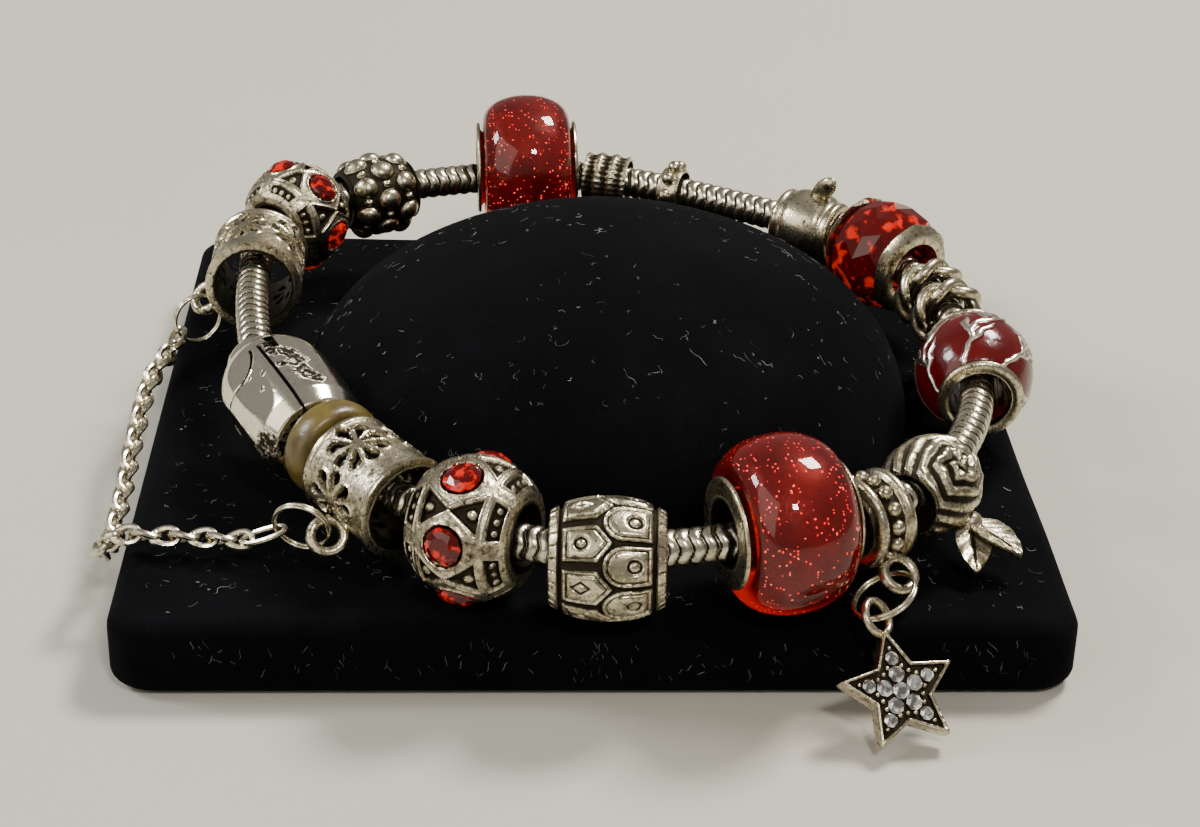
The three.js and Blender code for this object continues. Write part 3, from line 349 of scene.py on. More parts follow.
# sizes that the solids share, in millimetres
GAP, CLASP_HALF, CLASP_WALL, SOCKET, KNOB_R = 0.3, 6.9, 1.3, 2.2, 2.2
STOPPER_HALF, STOPPER_GAP, HOLDER_HALF = 1.5, 0.7, 4.1
STOPPER_AT = CLASP_HALF + STOPPER_GAP + STOPPER_HALF
HOLDER_AT = STOPPER_AT + STOPPER_HALF + STOPPER_GAP + HOLDER_HALF
SEATS = {"stopper_ring": seat(STOPPER_AT), "holder_front": seat(HOLDER_AT, lift=-0.5)}
for name, share, lift in (  # share of the line's length, and lift in millimetres
    ("barrel_bead", 0.1748, -0.6), ("glass_front", 0.2414, 0.85), ("bail_spacer", 0.2797, -0.6),
    ("rosebud_bead", 0.3155, -0.6), ("enamel_bead", 0.411, -0.3), ("knot_spacer_1", 0.4605, 0),
    ("knot_spacer_2", 0.4795, 0), ("crystal_bead", 0.5185, 0.2), ("urn_bead", 0.5625, -0.2),
    ("beaded_ring", 0.633, 0), ("ribbed_sleeve", 0.666, 0), ("glass_back", 0.705, 0.85),
    ("textured_bead", 0.779, -0.4), ("ball_back", 0.825, -0.1), ("holder_back", 0.8775, -1.0),
):
    SEATS[name] = seat(share * route.length, lift)
SEATS["ball_front"] = seat(0.1232 * route.length, lift=0.15, tip=4, turned=3)
for name, m in SEATS.items():
    low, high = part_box(name)
    away = np.linalg.norm(m[:3, 3] - np.array(low + high) / 2 / MM)
    print(f"{name}: its seat is {away:.1f} mm from the middle of its solid's box")

# %% [markdown]
# Most beads are lathe work: a profile of radius against length, spun round the chain. Cast and cut
# patterns are then a change of radius that depends on where on the skin a point lies. The same
# numbers say how deep the point is, and the finish uses that to put tarnish in the hollows.

# %% Turned beads, rings, balls and wires


def resampled(points, step):
    """A polyline with points at even steps along it."""
    points = np.asarray(points, float)
    marks = lengths(points)
    t = np.linspace(0, marks[-1], max(3, int(round(marks[-1] / step)) + 1))
    return points_at(t, marks, points)


def eased(points, times=3, closed=False):
    """Corner cutting: each step swaps a corner for two points, a quarter and three quarters along."""
    p = np.asarray(points, float)
    for _ in range(times):
        q = np.roll(p, -1, 0) if closed else p[1:]
        a = p if closed else p[:-1]
        cut = np.stack([0.75 * a + 0.25 * q, 0.25 * a + 0.75 * q], 1).reshape(-1, p.shape[1])
        p = cut if closed else np.vstack([p[:1], cut, p[-1:]])
    return p


BORE_ROWS, BORE_DEPTH = 6, 0.8


def turned_bead(outer, bore, place, relief=None, step=0.13, around=None, mask=None):
    """Spins the profile outer, [place along, radius] from end to end, and closes it through a bore.
    relief(x, angle, radius) gives the change of radius and the depth at each point of the outside."""
    x, r = resampled(eased(outer), step).T
    around = around or int(FULL * r.max() / step)
    back = np.linspace(x[-1], x[0], BORE_ROWS)
    X, A = np.meshgrid(np.r_[x, back], circle(around), indexing="ij")
    R, depth = np.full_like(X, bore), np.full_like(X, BORE_DEPTH)
    outside = slice(0, len(x))
    R[outside], depth[outside] = r[:, None], 0
    if relief:
        change, depth[outside] = relief(X[outside], A[outside], R[outside])
        R[outside] += change
    painted = 0.0 if mask is None else mask(X, A)
    return part(about_x(X, R, A), depth=depth, mask=painted, place=place)


def ball(centre, radius, place=None, rows=9, cols=14, depth=0.0):
    """A ball: radius times sine and cosine of two angles. Three radii make it longer one way."""
    v, u = np.meshgrid(np.linspace(0, np.pi, rows), circle(cols), indexing="ij")
    points = polar(np.sin(v), u, np.cos(v)) * np.asarray(radius)
    return part(points + np.asarray(centre, float), wrap_rows=False, depth=depth, place=place)


def wire(path, radius, reference, sides=10, closed=True, depth=0.0, place=None):
    """A round wire along a path. Each section lies square to the path, its sides set by a reference
    direction; an open wire ends in points."""
    ahead = unit(np.roll(path, -1, 0) - np.roll(path, 1, 0) if closed else np.gradient(path, axis=0))
    side = unit(np.cross(ahead, np.broadcast_to(reference, path.shape)))
    radius = np.full((len(path), 1), radius)
    if not closed:
        radius[0] = radius[-1] = 0
    points = sections(path, side, np.cross(side, ahead), radius, circle(sides))
    return part(points, wrap_rows=closed, depth=depth, place=place)


def loop(diameter, thick, place, rows=48):
    """A round ring of wire in the XY plane of its place: diameter is measured outside."""
    return wire(polar((diameter - thick) / 2, circle(rows)), thick / 2, (0, 0, 1.0), place=place)


def around_gap(a, b):
    """The signed angle from b to a, between minus and plus half a turn."""
    return (a - b + np.pi) % FULL - np.pi


def inside(u, v, corners):
    """How far a point lies inside a convex outline: the least distance to its edges, negative outside."""
    corners = np.asarray(corners, float)
    ahead = np.roll(corners, -1, 0) - corners
    ahead /= np.linalg.norm(ahead, axis=1)[:, None]
    far = [d[0] * (v - c[1]) - d[1] * (u - c[0]) for c, d in zip(corners, ahead)]
    area = sum(c[0] * n[1] - c[1] * n[0] for c, n in zip(corners, np.roll(corners, -1, 0)))
    return np.min(np.array(far) * np.sign(area), axis=0)


print("helpers ready")

# %% [markdown]
# Finishes are written as arithmetic. A small class wraps a node's output, so that 1 - mask or
# noise * 0.4 adds the Math nodes by itself, and one method adds any other node.

# %% Finishes as expressions


class Value:
    """A number that changes over a surface; arithmetic on it adds Math nodes."""

    def __init__(self, finish, socket):
        self.finish, self.socket = finish, socket

    def math(self, operation, first, second):
        return self.finish.node("ShaderNodeMath", {"operation": operation}, {0: first, 1: second})

    __add__ = __radd__ = lambda self, other: self.math("ADD", self, other)
    __mul__ = __rmul__ = lambda self, other: self.math("MULTIPLY", self, other)
    __sub__ = lambda self, other: self.math("SUBTRACT", self, other)
    __rsub__ = lambda self, other: self.math("SUBTRACT", other, self)


class Finish:
    """A material with one Principled shader. Constants go straight into its sockets."""

    def __init__(self, name, **constants):
        self.name = name
        self.material = bpy.data.materials.new(name)
        self.material.use_nodes = True
        self.tree = self.material.node_tree
        self.shader = self.tree.nodes["Principled BSDF"]
        self.feed(self.shader, {k.replace("_", " "): v for k, v in constants.items()})
        print("finish", name)

    def feed(self, node, values):
        """Sets sockets by name or number: a Value is linked, and anything else is a constant."""
        for key, value in values.items():
            if isinstance(value, Value):
                self.tree.links.new(value.socket, node.inputs[key])
            else:
                node.inputs[key].default_value = value

    def node(self, kind, settings=None, values=None, output=0):
        """Adds a node, sets it up, feeds it, and gives one of its outputs."""
        node = self.tree.nodes.new(kind)
        for key, value in (settings or {}).items():
            setattr(node, key, value)
        self.feed(node, values or {})
        return Value(self, node.outputs[output])

    def on(self, **values):
        """Feeds the shader's own sockets."""
        self.feed(self.shader, {k.replace("_", " "): v for k, v in values.items()})

    def place(self):
        return self.node("ShaderNodeTexCoord", output=3)

    def noise(self, per_mm, detail=2.0, rough=0.5):
        """Soft noise with so many lumps in a millimetre, from 0 to 1."""
        values = {"Vector": self.place(), "Scale": per_mm / MM, "Detail": detail, "Roughness": rough}
        return self.node("ShaderNodeTexNoise", values=values)

    def stored(self, title):
        """A number stored on the mesh, such as depth."""
        return self.node("ShaderNodeAttribute", {"attribute_name": title}, output=2)

    def step(self, value, low, high):
        """Zero below low and one above high, with a smooth climb between."""
        settings = {"interpolation_type": "SMOOTHSTEP"}
        return self.node("ShaderNodeMapRange", settings, {0: value, 1: low, 2: high})

    def mix(self, share, first, second):
        """A colour between first and second, which are Values or red, green and blue."""
        first, second = (c if isinstance(c, Value) else (*c, 1) for c in (first, second))
        return self.node("ShaderNodeMix", {"data_type": "RGBA"}, {0: share, 6: first, 7: second}, output=2)

    def ramp(self, value, low, high, first, second):
        """A colour that goes from first to second as a value climbs from low to high."""
        return self.mix(self.step(value, low, high), first, second)

    def bump(self, height, reach, strength=1.0):
        """Tilts the surface as if height stood reach millimetres tall."""
        values = {"Height": height, "Distance": reach * MM, "Strength": strength}
        self.on(Normal=self.node("ShaderNodeBump", values=values))


def silver(name, bright, rough, tarnish, pitted, crust=0.0):
    """Worn silver: bright on what stands proud, dark in the hollows, smeared with tarnish and pitted.
    Where crust is above zero, the dark places break up into a rough crust."""
    dark = (0.024, 0.019, 0.012)
    dull = tuple(share * b for share, b in zip((0.34, 0.32, 0.27), bright))
    finish = Finish(name, Metallic=1.0)
    smear, spots = finish.noise(0.5, 4.0, 0.6), finish.noise(2.4, 4.0, 0.65)
    grain = finish.noise(9.0, 2.0, 0.5)
    sunk = finish.stored("depth") * (1 + (spots - 0.5) * crust)
    hollow = finish.step(sunk + (smear - 0.5) * 0.4 + (spots - 0.5) * 0.5, 0.15, 0.65)
    film = finish.step(smear * 0.45 + spots * 0.55, 0.42, 0.60) * tarnish
    pits = finish.step(spots, 0.58, 0.68) * pitted
    finish.on(Base_Color=finish.mix(hollow, finish.mix(pits, finish.mix(film, bright, dull), dark), dark),
              Roughness=rough + hollow * 0.3 + film * 0.18 + grain * 0.08)
    finish.bump((spots * 0.7 + grain * 0.25) * (1 + hollow * (2.5 + crust)), 0.05, 0.3 + 0.5 * pitted)
    return finish


OLD_SILVER = silver("old_silver", (0.66, 0.59, 0.43), 0.17, 0.9, 0.9)
CHAIN_SILVER = silver("chain_silver", (0.74, 0.68, 0.53), 0.15, 0.6, 0.35)
BRIGHT_SILVER = silver("bright_silver", (0.92, 0.85, 0.70), 0.07, 0.22, 0.10, crust=5.0)


def cast(name, solid, parts, sharp=40):
    """A piece of old silver in place of one solid."""
    make(name, parts, OLD_SILVER, [solid], sharp=sharp)

# %% [markdown]
# Velvet drinks light when it is seen straight on and lights up a little where it turns away. A sheen
# on a nearly black, fully rough base gives that. Fine noise stands in for the nap, and a slower one
# for the places where it has been brushed the other way; together they paint a faint lighter, bluer
# sheen into the base colour.

# %% Velvet, glass and stone finishes
velvet = Finish("velvet", Roughness=0.95, Specular_IOR_Level=0.05, Sheen_Weight=0.006,
                Sheen_Roughness=0.5, Sheen_Tint=(0.6, 0.65, 0.8, 1))
nap, brushed_sheen = velvet.noise(6.0, 3.0, 0.7), velvet.noise(0.12, 3.0, 0.6)
# Painted sheen: the base colour turns a little lighter and bluer where the nap and brushed noise run high.
velvet.on(Base_Color=velvet.ramp(nap * 0.8 + brushed_sheen * 0.6, 0.55, 0.95,
                                 (0.0004, 0.0005, 0.0008), (0.0022, 0.0024, 0.0034)))
velvet.bump(nap + brushed_sheen * 0.8, 0.16, 0.8)

red_glass = Finish("red_glass", Roughness=0.01, IOR=1.42, Specular_IOR_Level=0.25, Transmission_Weight=1.0)
red_glass.on(Base_Color=red_glass.mix(red_glass.noise(0.12), (0.90, 0.16, 0.14), (0.97, 0.30, 0.25)))

# Painted glow: low down, where the stored depth carries it, the heart turns brighter red and gives off
# orange-red light; elsewhere the emission is faint.
glass_heart = Finish("glass_heart", Roughness=0.4, Emission_Strength=0.55)
painted_glow = glass_heart.stored("depth")
dusty = glass_heart.noise(0.35, 3.0) * 0.6 + glass_heart.noise(5.0, 2.0) * 0.4
cloudy = glass_heart.ramp(dusty, 0.35, 0.65, (0.06, 0.0008, 0.001), (0.18, 0.002, 0.002))
glass_heart.on(Base_Color=glass_heart.mix(painted_glow, cloudy, (0.8, 0.02, 0.002)),
               Emission_Color=glass_heart.mix(painted_glow, (0.02, 0, 0), (1.0, 0.02, 0.001)))

# Painted glints: where the noise runs high the flakes turn pale and give off light of their own.
glitter = Finish("glitter", Roughness=0.3, Metallic=0.3, Emission_Strength=2.2)
painted_glint = glitter.step(glitter.noise(1.6), 0.45, 0.62)
glitter.on(Base_Color=glitter.mix(painted_glint, (0.8, 0.05, 0.03), (1.0, 0.55, 0.5)),
           Emission_Color=glitter.mix(painted_glint, (0.75, 0.015, 0.008), (1.0, 0.22, 0.16)))


def red_cut(name, painted_fire_red, share, per_mm):
    """Cut red stone: deep red with a share of painted fire, orange places that glow as where a facet throws
    light back.
    """
    finish = Finish(name, Roughness=0.04, IOR=1.5, Specular_IOR_Level=0.4, Coat_Weight=0.2,
                    Coat_Roughness=0.02, Emission_Strength=0.3)
    # Painted fire: the orange places are lighter in the base colour and give off light of their own.
    painted_fire = finish.step(finish.noise(per_mm, 2.0), share, share + 0.14)
    finish.on(Base_Color=finish.mix(painted_fire, (0.06, 0.0006, 0.0006), painted_fire_red),
              Emission_Color=finish.mix(painted_fire, (0.02, 0, 0), (0.9, 0.025, 0.002)))
    return finish


red_stone = red_cut("red_stone", (0.40, 0.004, 0.001), 0.48, 1.3)
red_crystal = red_cut("red_crystal", (0.46, 0.008, 0.001), 0.53, 0.7)

amber = Finish("amber_rubber", Roughness=0.35, Subsurface_Weight=0.3, Coat_Weight=0.12,
               Subsurface_Radius=(0.0016, 0.001, 0.0003), Coat_Roughness=0.3)
amber.on(Base_Color=amber.ramp(amber.noise(0.5, 3.0), 0.35, 0.65,
                               (0.062, 0.041, 0.0065), (0.115, 0.082, 0.016)))
amber.bump(amber.noise(2.5), 0.04)

clear_stone = Finish("clear_stone", Roughness=0.03, IOR=1.9, Metallic=0.9, Coat_Weight=1.0,
                     Coat_Roughness=0.01)
clear_stone.on(Base_Color=clear_stone.ramp(clear_stone.noise(1.5, 2.0), 0.40, 0.60,
                                           (0.30, 0.29, 0.27), (0.97, 0.96, 0.92)))

# %% [markdown]
# The stand is a board with padding under velvet: a slab with soft rolled edges, and a low round
# mound on it. The slab is a rounded rectangle whose outline shrinks towards its top and bottom
# edges, and the mound is a quarter ellipse spun round.

# %% The velvet stand
SLAB_HALF, SLAB_TALL, SLAB_CORNER, SLAB_EDGE = np.array([38.5, 38.0]), 6.6, 3.2, 1.5
MOUND_MIDDLE, MOUND_WIDE, MOUND_TALL, MOUND_FOOT = np.array([1.8, 0.2]), 27.4, 16.2, SLAB_TALL + 0.3
QUARTER = np.pi / 2


def rounded_outline(half, corner, count):
    """Points evenly round a rectangle with round corners, from its middle outwards."""
    a = (np.arange(24) + 0.5) / 24 * QUARTER
    signs = ((1, 1), (-1, 1), (-1, -1), (1, -1))
    arcs = [sign * (half - corner) + polar(corner, a + k * QUARTER)[:, :2] for k, sign in enumerate(signs)]
    closed = np.vstack([*arcs, arcs[0][:1]])
    marks = lengths(closed)
    return points_at(np.arange(count) / count * marks[-1], marks, closed)


def slab():
    """The slab: the outline moved in by one minus cosine of the edge's angle as it rises by its sine,
    then in towards the middle across the top. A slow sine in both directions stands for the padding."""
    edge = np.linspace(0, QUARTER, 9)
    inset, rise = SLAB_EDGE * (1 - np.cos(edge)), SLAB_EDGE * (1 - np.sin(edge))
    sides = np.linspace(SLAB_EDGE, SLAB_TALL - SLAB_EDGE, 8)[1:-1]
    inward, height = np.r_[inset[::-1], 0 * sides, inset], np.r_[rise[::-1], sides, SLAB_TALL - rise]
    flat = 1 - SLAB_EDGE / SLAB_HALF
    rows = [(flat * k, 0) for k in (0, 0.5)]
    rows += [(1 - d / SLAB_HALF, z) for d, z in zip(inward, height)]
    rows += [(flat * k, SLAB_TALL) for k in np.linspace(0.97, 0, 34)]
    outline = rounded_outline(SLAB_HALF, SLAB_CORNER, 420)
    grid = np.array([np.column_stack([outline * share, np.full(len(outline), z)]) for share, z in rows])
    x, y, z = np.moveaxis(grid, -1, 0)
    grid[..., 2] += 0.10 * (np.sin(x * 0.35 + 1) * np.cos(y * 0.28) - 1) * smooth(2, 6, z)
    return part(grid, wrap_rows=False)


def mound():
    """The mound: radius is the cosine of an angle and height its sine, with shallow dimples."""
    rise, a = np.linspace(0, QUARTER, 64), circle(160)
    r = np.r_[0, MOUND_WIDE - 1.2, MOUND_WIDE * np.cos(rise)][:, None]
    z = np.r_[0, 0, MOUND_TALL * np.sin(rise)][:, None]
    dimple = 0.12 * np.sin(3 * a) * np.sin(2 * np.linspace(0, np.pi, len(r)))[:, None]
    points = polar(r, a, np.clip(z + dimple, 0, MOUND_TALL)) + [*MOUND_MIDDLE, MOUND_FOOT]
    return part(points, wrap_rows=False)


make("stand_slab", [slab()], velvet, ["stand_base"])
make("stand_pad", [mound()], velvet, ["stand_mound"])

# %% [markdown]
# A snake chain is a row of small shaped plates that overlap round a hollow core. From outside it is a
# tube ribbed across, with each rib broken into a zigzag. The rib is a rounded sine along the length,
# and the zigzag moves it to and fro as the angle goes round.

# %% The snake chain and its end knob
CHAIN_WIDE, RIB, RIB_DEEP, ZIGZAG = 3.0, 1.05, 0.26, 0.20
chain_from = CLASP_HALF - CLASP_WALL
chain_to = route.length - (CLASP_HALF - SOCKET + 2 * GAP)


def snake():
    """A tube along the route whose radius falls by a quarter of a millimetre between ribs."""
    s, a = np.linspace(chain_from, chain_to, 1560), circle(30)
    _, inward, up = route.frames(s)
    zigzag = ZIGZAG * (2 / np.pi) * np.arcsin(np.sin(4 * a))
    wave = np.abs(np.sin(np.pi * (s[:, None] / RIB + zigzag)))
    r = CHAIN_WIDE / 2 - RIB_DEEP * (1 - wave**0.5)
    r[0] = r[-1] = 0
    points = sections(route.at(s), up, -inward, r, a)
    return part(points, wrap_rows=False, depth=0.95 * (1 - smooth(0.05, 0.6, wave)))


knob = ball((0, 0, 0), KNOB_R, seat(CLASP_HALF - CLASP_WALL - GAP - KNOB_R), 24, 32)
make("snake_chain_ribs", [snake()], CHAIN_SILVER, ["snake_chain"])
make("chain_knob_round", [knob], CHAIN_SILVER, ["chain_knob"])

# %% [markdown]
# The holder beads are tubes pierced with daisies, each of eight petals like drops. A petal is cut
# right through: points inside its outline drop to the inner wall, and the cells between such points
# are left out on both walls. A thin bead of metal runs round every petal.

# %% Holder beads
HOLDER_R, HOLDER_WALL = 4.4, 0.9
DAISY_REACH, DAISY_HEART, PETAL_SPREAD, DAISY_TURN = 2.6, 0.55, 0.29, math.radians(-18)
LOOP_WIDE, LOOP_THICK = 3.6, 0.9


def daisies(x, angle):
    """How far inside a petal a point of the tube lies. In polar places about the nearest daisy, a
    petal's half width grows with distance, and a circle closes its outer end."""
    cap = PETAL_SPREAD * (DAISY_REACH - DAISY_HEART) * 0.9
    best = np.full(x.shape, -9.0)
    for daisy in range(5):
        sway = (HOLDER_HALF - DAISY_REACH - 0.5) * (-0.4 if daisy % 2 else -0.9)
        u, v = x - sway, HOLDER_R * around_gap(angle, FULL * (daisy + 0.5) / 5 + DAISY_TURN)
        rho, off = np.hypot(u, v), around_gap(8 * np.arctan2(v, u), 0) / 8
        across, out = np.abs(rho * np.sin(off)), rho * np.cos(off) - DAISY_REACH + cap
        side = PETAL_SPREAD * (out + DAISY_REACH - cap - DAISY_HEART) - across
        wedge, disc = np.minimum(side * 0.96, 0.02 - out), cap - np.hypot(out, across)
        best = np.maximum.reduce([best, wedge, disc])
    return best


def hanging_loop(place, angle, radius, turned):
    """A loop of wire that stands on a bead's side, sunk in by a third of its wire."""
    out = radius + LOOP_WIDE / 2 - LOOP_THICK * 2 / 3
    place = place @ on_side(0, math.radians(angle), out) @ turn("Z", turned) @ turn("Y", 90)
    return loop(LOOP_WIDE, LOOP_THICK, place)


def holder(name):
    """The pierced tube and the loop under it."""
    X, A = np.meshgrid(np.linspace(-HOLDER_HALF, HOLDER_HALF, 78), circle(250), indexing="ij")
    petal, inner = daisies(X, A), HOLDER_R - HOLDER_WALL
    cut, rim = petal > 0, peak(petal + 0.11, 0.10)
    lip = smooth(HOLDER_HALF - 0.7, HOLDER_HALF - 0.4, np.abs(X))
    outer = np.where(cut, inner, HOLDER_R - 0.22 + 0.12 * rim + 0.22 * lip)
    outer[[0, -1]] = HOLDER_R - 0.45
    R = np.vstack([outer, np.full_like(outer, inner)])
    points = about_x(np.vstack([X, X[::-1]]), R, np.vstack([A, A]))
    ground = 0.30 * smooth(0.6, 0.0, rim + lip)
    depth = np.vstack([np.where(cut, 1.0, ground), np.full_like(X, 0.95)])
    shell = part(points, depth=depth, place=SEATS[name], keep=np.vstack([~cut, ~cut[::-1]]))
    cast(name + "_pierced", name, [shell, hanging_loop(SEATS[name], 122, HOLDER_R, 60)])


holder("holder_front")
holder("holder_back")

# %% [markdown]
# A moulded rubber ring keeps the beads off the clasp. It is a plain turned ring, a little swollen.

# %% Rubber stopper
stopper_profile = mirrored([[-1.5, 2.2], [-1.5, 3.4], [-1.2, 3.95], [-0.5, 4.2]])
stopper = turned_bead(stopper_profile, 2.0, SEATS["stopper_ring"])
make("stopper_rubber", [stopper], amber, ["stopper_ring"])

# %% [markdown]
# The ball beads carry six cut stones round their middle. Between the stones, raised strips fence in
# sunk cells: a triangle and a bar on each side, each with grains of metal standing in it.

# %% Ball beads
BALL_R, BALL_HALF, STONE_WIDE, TWIST = 5.7, 4.4, 3.1, math.radians(18)
BALL_ARC = math.asin(BALL_HALF / BALL_R)
ARM = 0.19 * 2 * BALL_R
# a cell's outline and its grains, in arms; its share of the way to the ball's end; a grain's size
TRIANGLE = [[-0.70, 0], [0.46, -0.74], [0.46, 0.74]], [(0.16, 0)], 0.30, 0.44
BAR = ([[-0.28, -0.82], [0.30, -0.62], [0.30, 0.62], [-0.28, 0.82]],
       [(0, -0.44), (0, 0.02), (0, 0.46)], 0.76, 0.30)
FINE = 0.105


def ball_relief(x, angle, radius):
    """Depth from the cells and the stones' seats. A cell is measured in its own tangent plane: u runs
    towards the ball's end, and v round it."""
    latitude = np.arcsin(np.clip(x / BALL_R, -1, 1))
    wide = BALL_R * np.cos(latitude)
    change, depth, strips = (np.zeros_like(x) for _ in range(3))
    for here in circle(6) + TWIST:
        away = np.hypot(x, wide * around_gap(angle, here)) - STONE_WIDE / 2
        pit, rim = smooth(0.16, -0.02, away), peak(away - 0.26, 0.12)
        change += 0.14 * rim - 1.35 * pit
        depth, strips = np.maximum(depth, pit), np.maximum(strips, rim)
        for end in (-1, 1):
            for outline, grains, share, size in (TRIANGLE, BAR):
                u = BALL_R * (end * latitude - share * BALL_ARC)
                v = wide * around_gap(angle, here + np.pi / 6)
                far = inside(u, v, ARM * np.array(outline))
                deep, strip = smooth(-0.02, 0.14, far), peak(far + 0.13, 0.10)
                bumps = sum(peak((u - gu * ARM) ** 2 + (v - gv * ARM) ** 2, size**2) for gu, gv in grains)
                change += deep * (-0.5 + 0.45 * bumps) + 0.12 * strip
                depth = np.maximum(depth, deep * (1 - 0.95 * bumps))
                strips = np.maximum(strips, strip)
    return change, np.maximum(depth, 0.30 * (1 - strips))


def cut_stone(diameter, place, sides=10, back=0.75):
    """A cut stone: a flat table, a ring of crown facets in two tiers, and a pointed back."""
    r = diameter / 2
    tiers = ((0, -back * r, 0), (r, -0.04, 0), (r, 0.06, 0), (0.84 * r, 0.2 * r, 0.5),
             (0.55 * r, 0.36 * r, 0), (0, 0.36 * r, 0))
    rows = [polar(q, circle(sides) + s * FULL / sides, z) for q, z, s in tiers]
    return part(np.array(rows), wrap_rows=False, place=place)


def ball_bead(name, size):
    """The ball, cut off flat at both ends, and its six stones."""
    place = SEATS[name] @ np.diag([size, size, size, 1.0])
    swing = np.linspace(-BALL_ARC, BALL_ARC, 26)
    skin = BALL_R * np.column_stack([np.sin(swing), np.cos(swing)])
    outer = np.vstack([[-BALL_HALF, 3.2], skin, [BALL_HALF, 3.2]])
    cast(name + "_cells", name, [turned_bead(outer, 2.7, place, ball_relief, FINE)], sharp=60)
    stones = [cut_stone(STONE_WIDE, place @ on_side(0, a + TWIST, BALL_R - 0.15)) for a in circle(6)]
    make(name + "_stones", stones, red_stone, [f"{name}_stone_{i}" for i in range(1, 7)], sharp=10)


ball_bead("ball_front", 1.0)
ball_bead("ball_back", 0.88)

# %% [markdown]
# The barrel bead is cast all over: nicked end rails, a row of pointed arches on one side and a row
# of scallops on the other, so that a dark wavy line is left between them round the middle.

# %% Barrel bead
BARREL_R, ARCHES, MARK = 4.9, 8, 0.13


def barrel_relief(x, angle, radius):
    """A point stands proud inside a pointed arch, inside a scallop or on an end rail, and small marks
    are sunk into those again. Distances are to each shape's own outline."""
    wide, long = BARREL_R * np.pi / ARCHES, np.abs(x)
    v, w = (BARREL_R * around_gap(ARCHES * angle, turned) / ARCHES for turned in (0, np.pi))
    side = 0.86 * wide
    arch_in = inside(x, v, [[-3.55, -side], [-0.75, -side], [0.55, 0], [-0.75, side], [-3.55, side]])
    scallop_in = np.minimum(3.55 - x, 0.94 * wide - np.hypot(np.minimum(x - 1.35, 0), w))
    nearest = np.maximum(arch_in, scallop_in)
    raised = np.maximum(smooth(0.02, 0.2, nearest), smooth(3.72, 3.86, long))
    diamond = peak(np.abs(x + 2.0) * 0.8 + np.abs(v) - 0.55, MARK)
    ring = peak(np.hypot(x + 2.0, v) - 0.45, MARK)
    eye = peak(np.hypot(x - 2.1, w) - 0.5, MARK)
    lip = 0.8 * peak(nearest - 0.45, 0.1)
    nicks = smooth(0.75, 0.95, np.cos(angle * ARCHES * 3)) * smooth(3.95, 4.05, long)
    sunk = np.maximum.reduce([np.where(np.cos(ARCHES / 2 * angle) > 0, diamond, ring), eye, lip, 0.6 * nicks])
    deep = np.clip(np.maximum(1 - raised, 0.8 * sunk), 0, 1)
    return -0.40 * deep, np.maximum(deep, 0.12)


barrel_outer = mirrored([[-4.55, 3.0], [-4.55, 3.62], [-4.25, 3.82], [-3.2, 4.42], [-1.6, 4.8], [0, 4.9]])
barrel = turned_bead(barrel_outer, 2.8, SEATS["barrel_bead"], barrel_relief, FINE)
cast("barrel_cast", "barrel_bead", [barrel], sharp=60)

# %% [markdown]
# A glass bead is a thick ring of clear red glass with fine glitter in it, on a silver tube with a
# flange at each end. The outside is clear; a slightly smaller red heart under it carries the depth of
# colour, and a few hundred tiny flakes lie between the two. Light gathers low in the glass, so the
# heart has a painted orange glow there, an emission where its skin faces down, and the flakes carry
# painted glints.

# %% Glass beads
GLASS_R, GLASS_HALF, GLASS_HOLE, FLAKES = 7.15, 4.3, 3.5, 700
FLAKE_RIMS = [(0, 0, 0.3)] * 4 + [(1, 0, 0), (0, 0.7, 0), (-1, 0, 0), (0, -0.7, 0)] + [(0, 0, -0.3)] * 4


def glass_profile(shrink):
    """The glass's outline: a rounded hoop, its radius a cosine and its width a sine, both a little
    squared. shrink draws it in by millimetres."""
    a = np.linspace(-np.pi / 2, np.pi / 2, 40)
    middle = (GLASS_R + GLASS_HOLE) / 2 - 0.8
    r = middle + (GLASS_R - shrink - middle) * np.cos(a) ** 0.94
    x = (GLASS_HALF - shrink) * np.sign(np.sin(a)) * np.abs(np.sin(a)) ** 0.97
    return np.column_stack([x, r])


def glass_hoop(shrink, inset, hole, **more):
    """The outline spun round a hole, whose ends lie inset millimetres inside the hoop's own."""
    outer = np.vstack([[inset - GLASS_HALF, hole], glass_profile(shrink), [GLASS_HALF - inset, hole]])
    return turned_bead(outer, hole, **more)


def flakes(place, seed):
    """Flat diamonds of glitter under the skin, each at a random place and turned at random."""
    rng = np.random.default_rng(seed)
    skin = glass_profile(0.33)[rng.integers(4, 36, FLAKES)]
    a, spin, size = (rng.uniform(low, high, FLAKES) for low, high in ((0, FULL), (0, np.pi), (0.05, 0.13)))
    middle = about_x(*skin.T, a)
    out = unit(middle * [0.6, 1, 1])
    side = unit(np.cross(out, [1.0, 0.2, 0]))
    across = side * np.cos(spin)[:, None] + np.cross(out, side) * np.sin(spin)[:, None]
    beyond = np.cross(out, across)
    corners = [middle + size[:, None] * (across * cu + beyond * cv + out * cw) for cu, cv, cw in FLAKE_RIMS]
    points = np.stack(corners, 1).reshape(-1, 3) @ place[:3, :3].T + place[:3, 3]
    faces = np.arange(FLAKES)[:, None, None] * len(FLAKE_RIMS) + cells(3, 4, False)[None]
    return points, faces.reshape(-1, 4), np.zeros(len(points)), np.zeros(len(points))


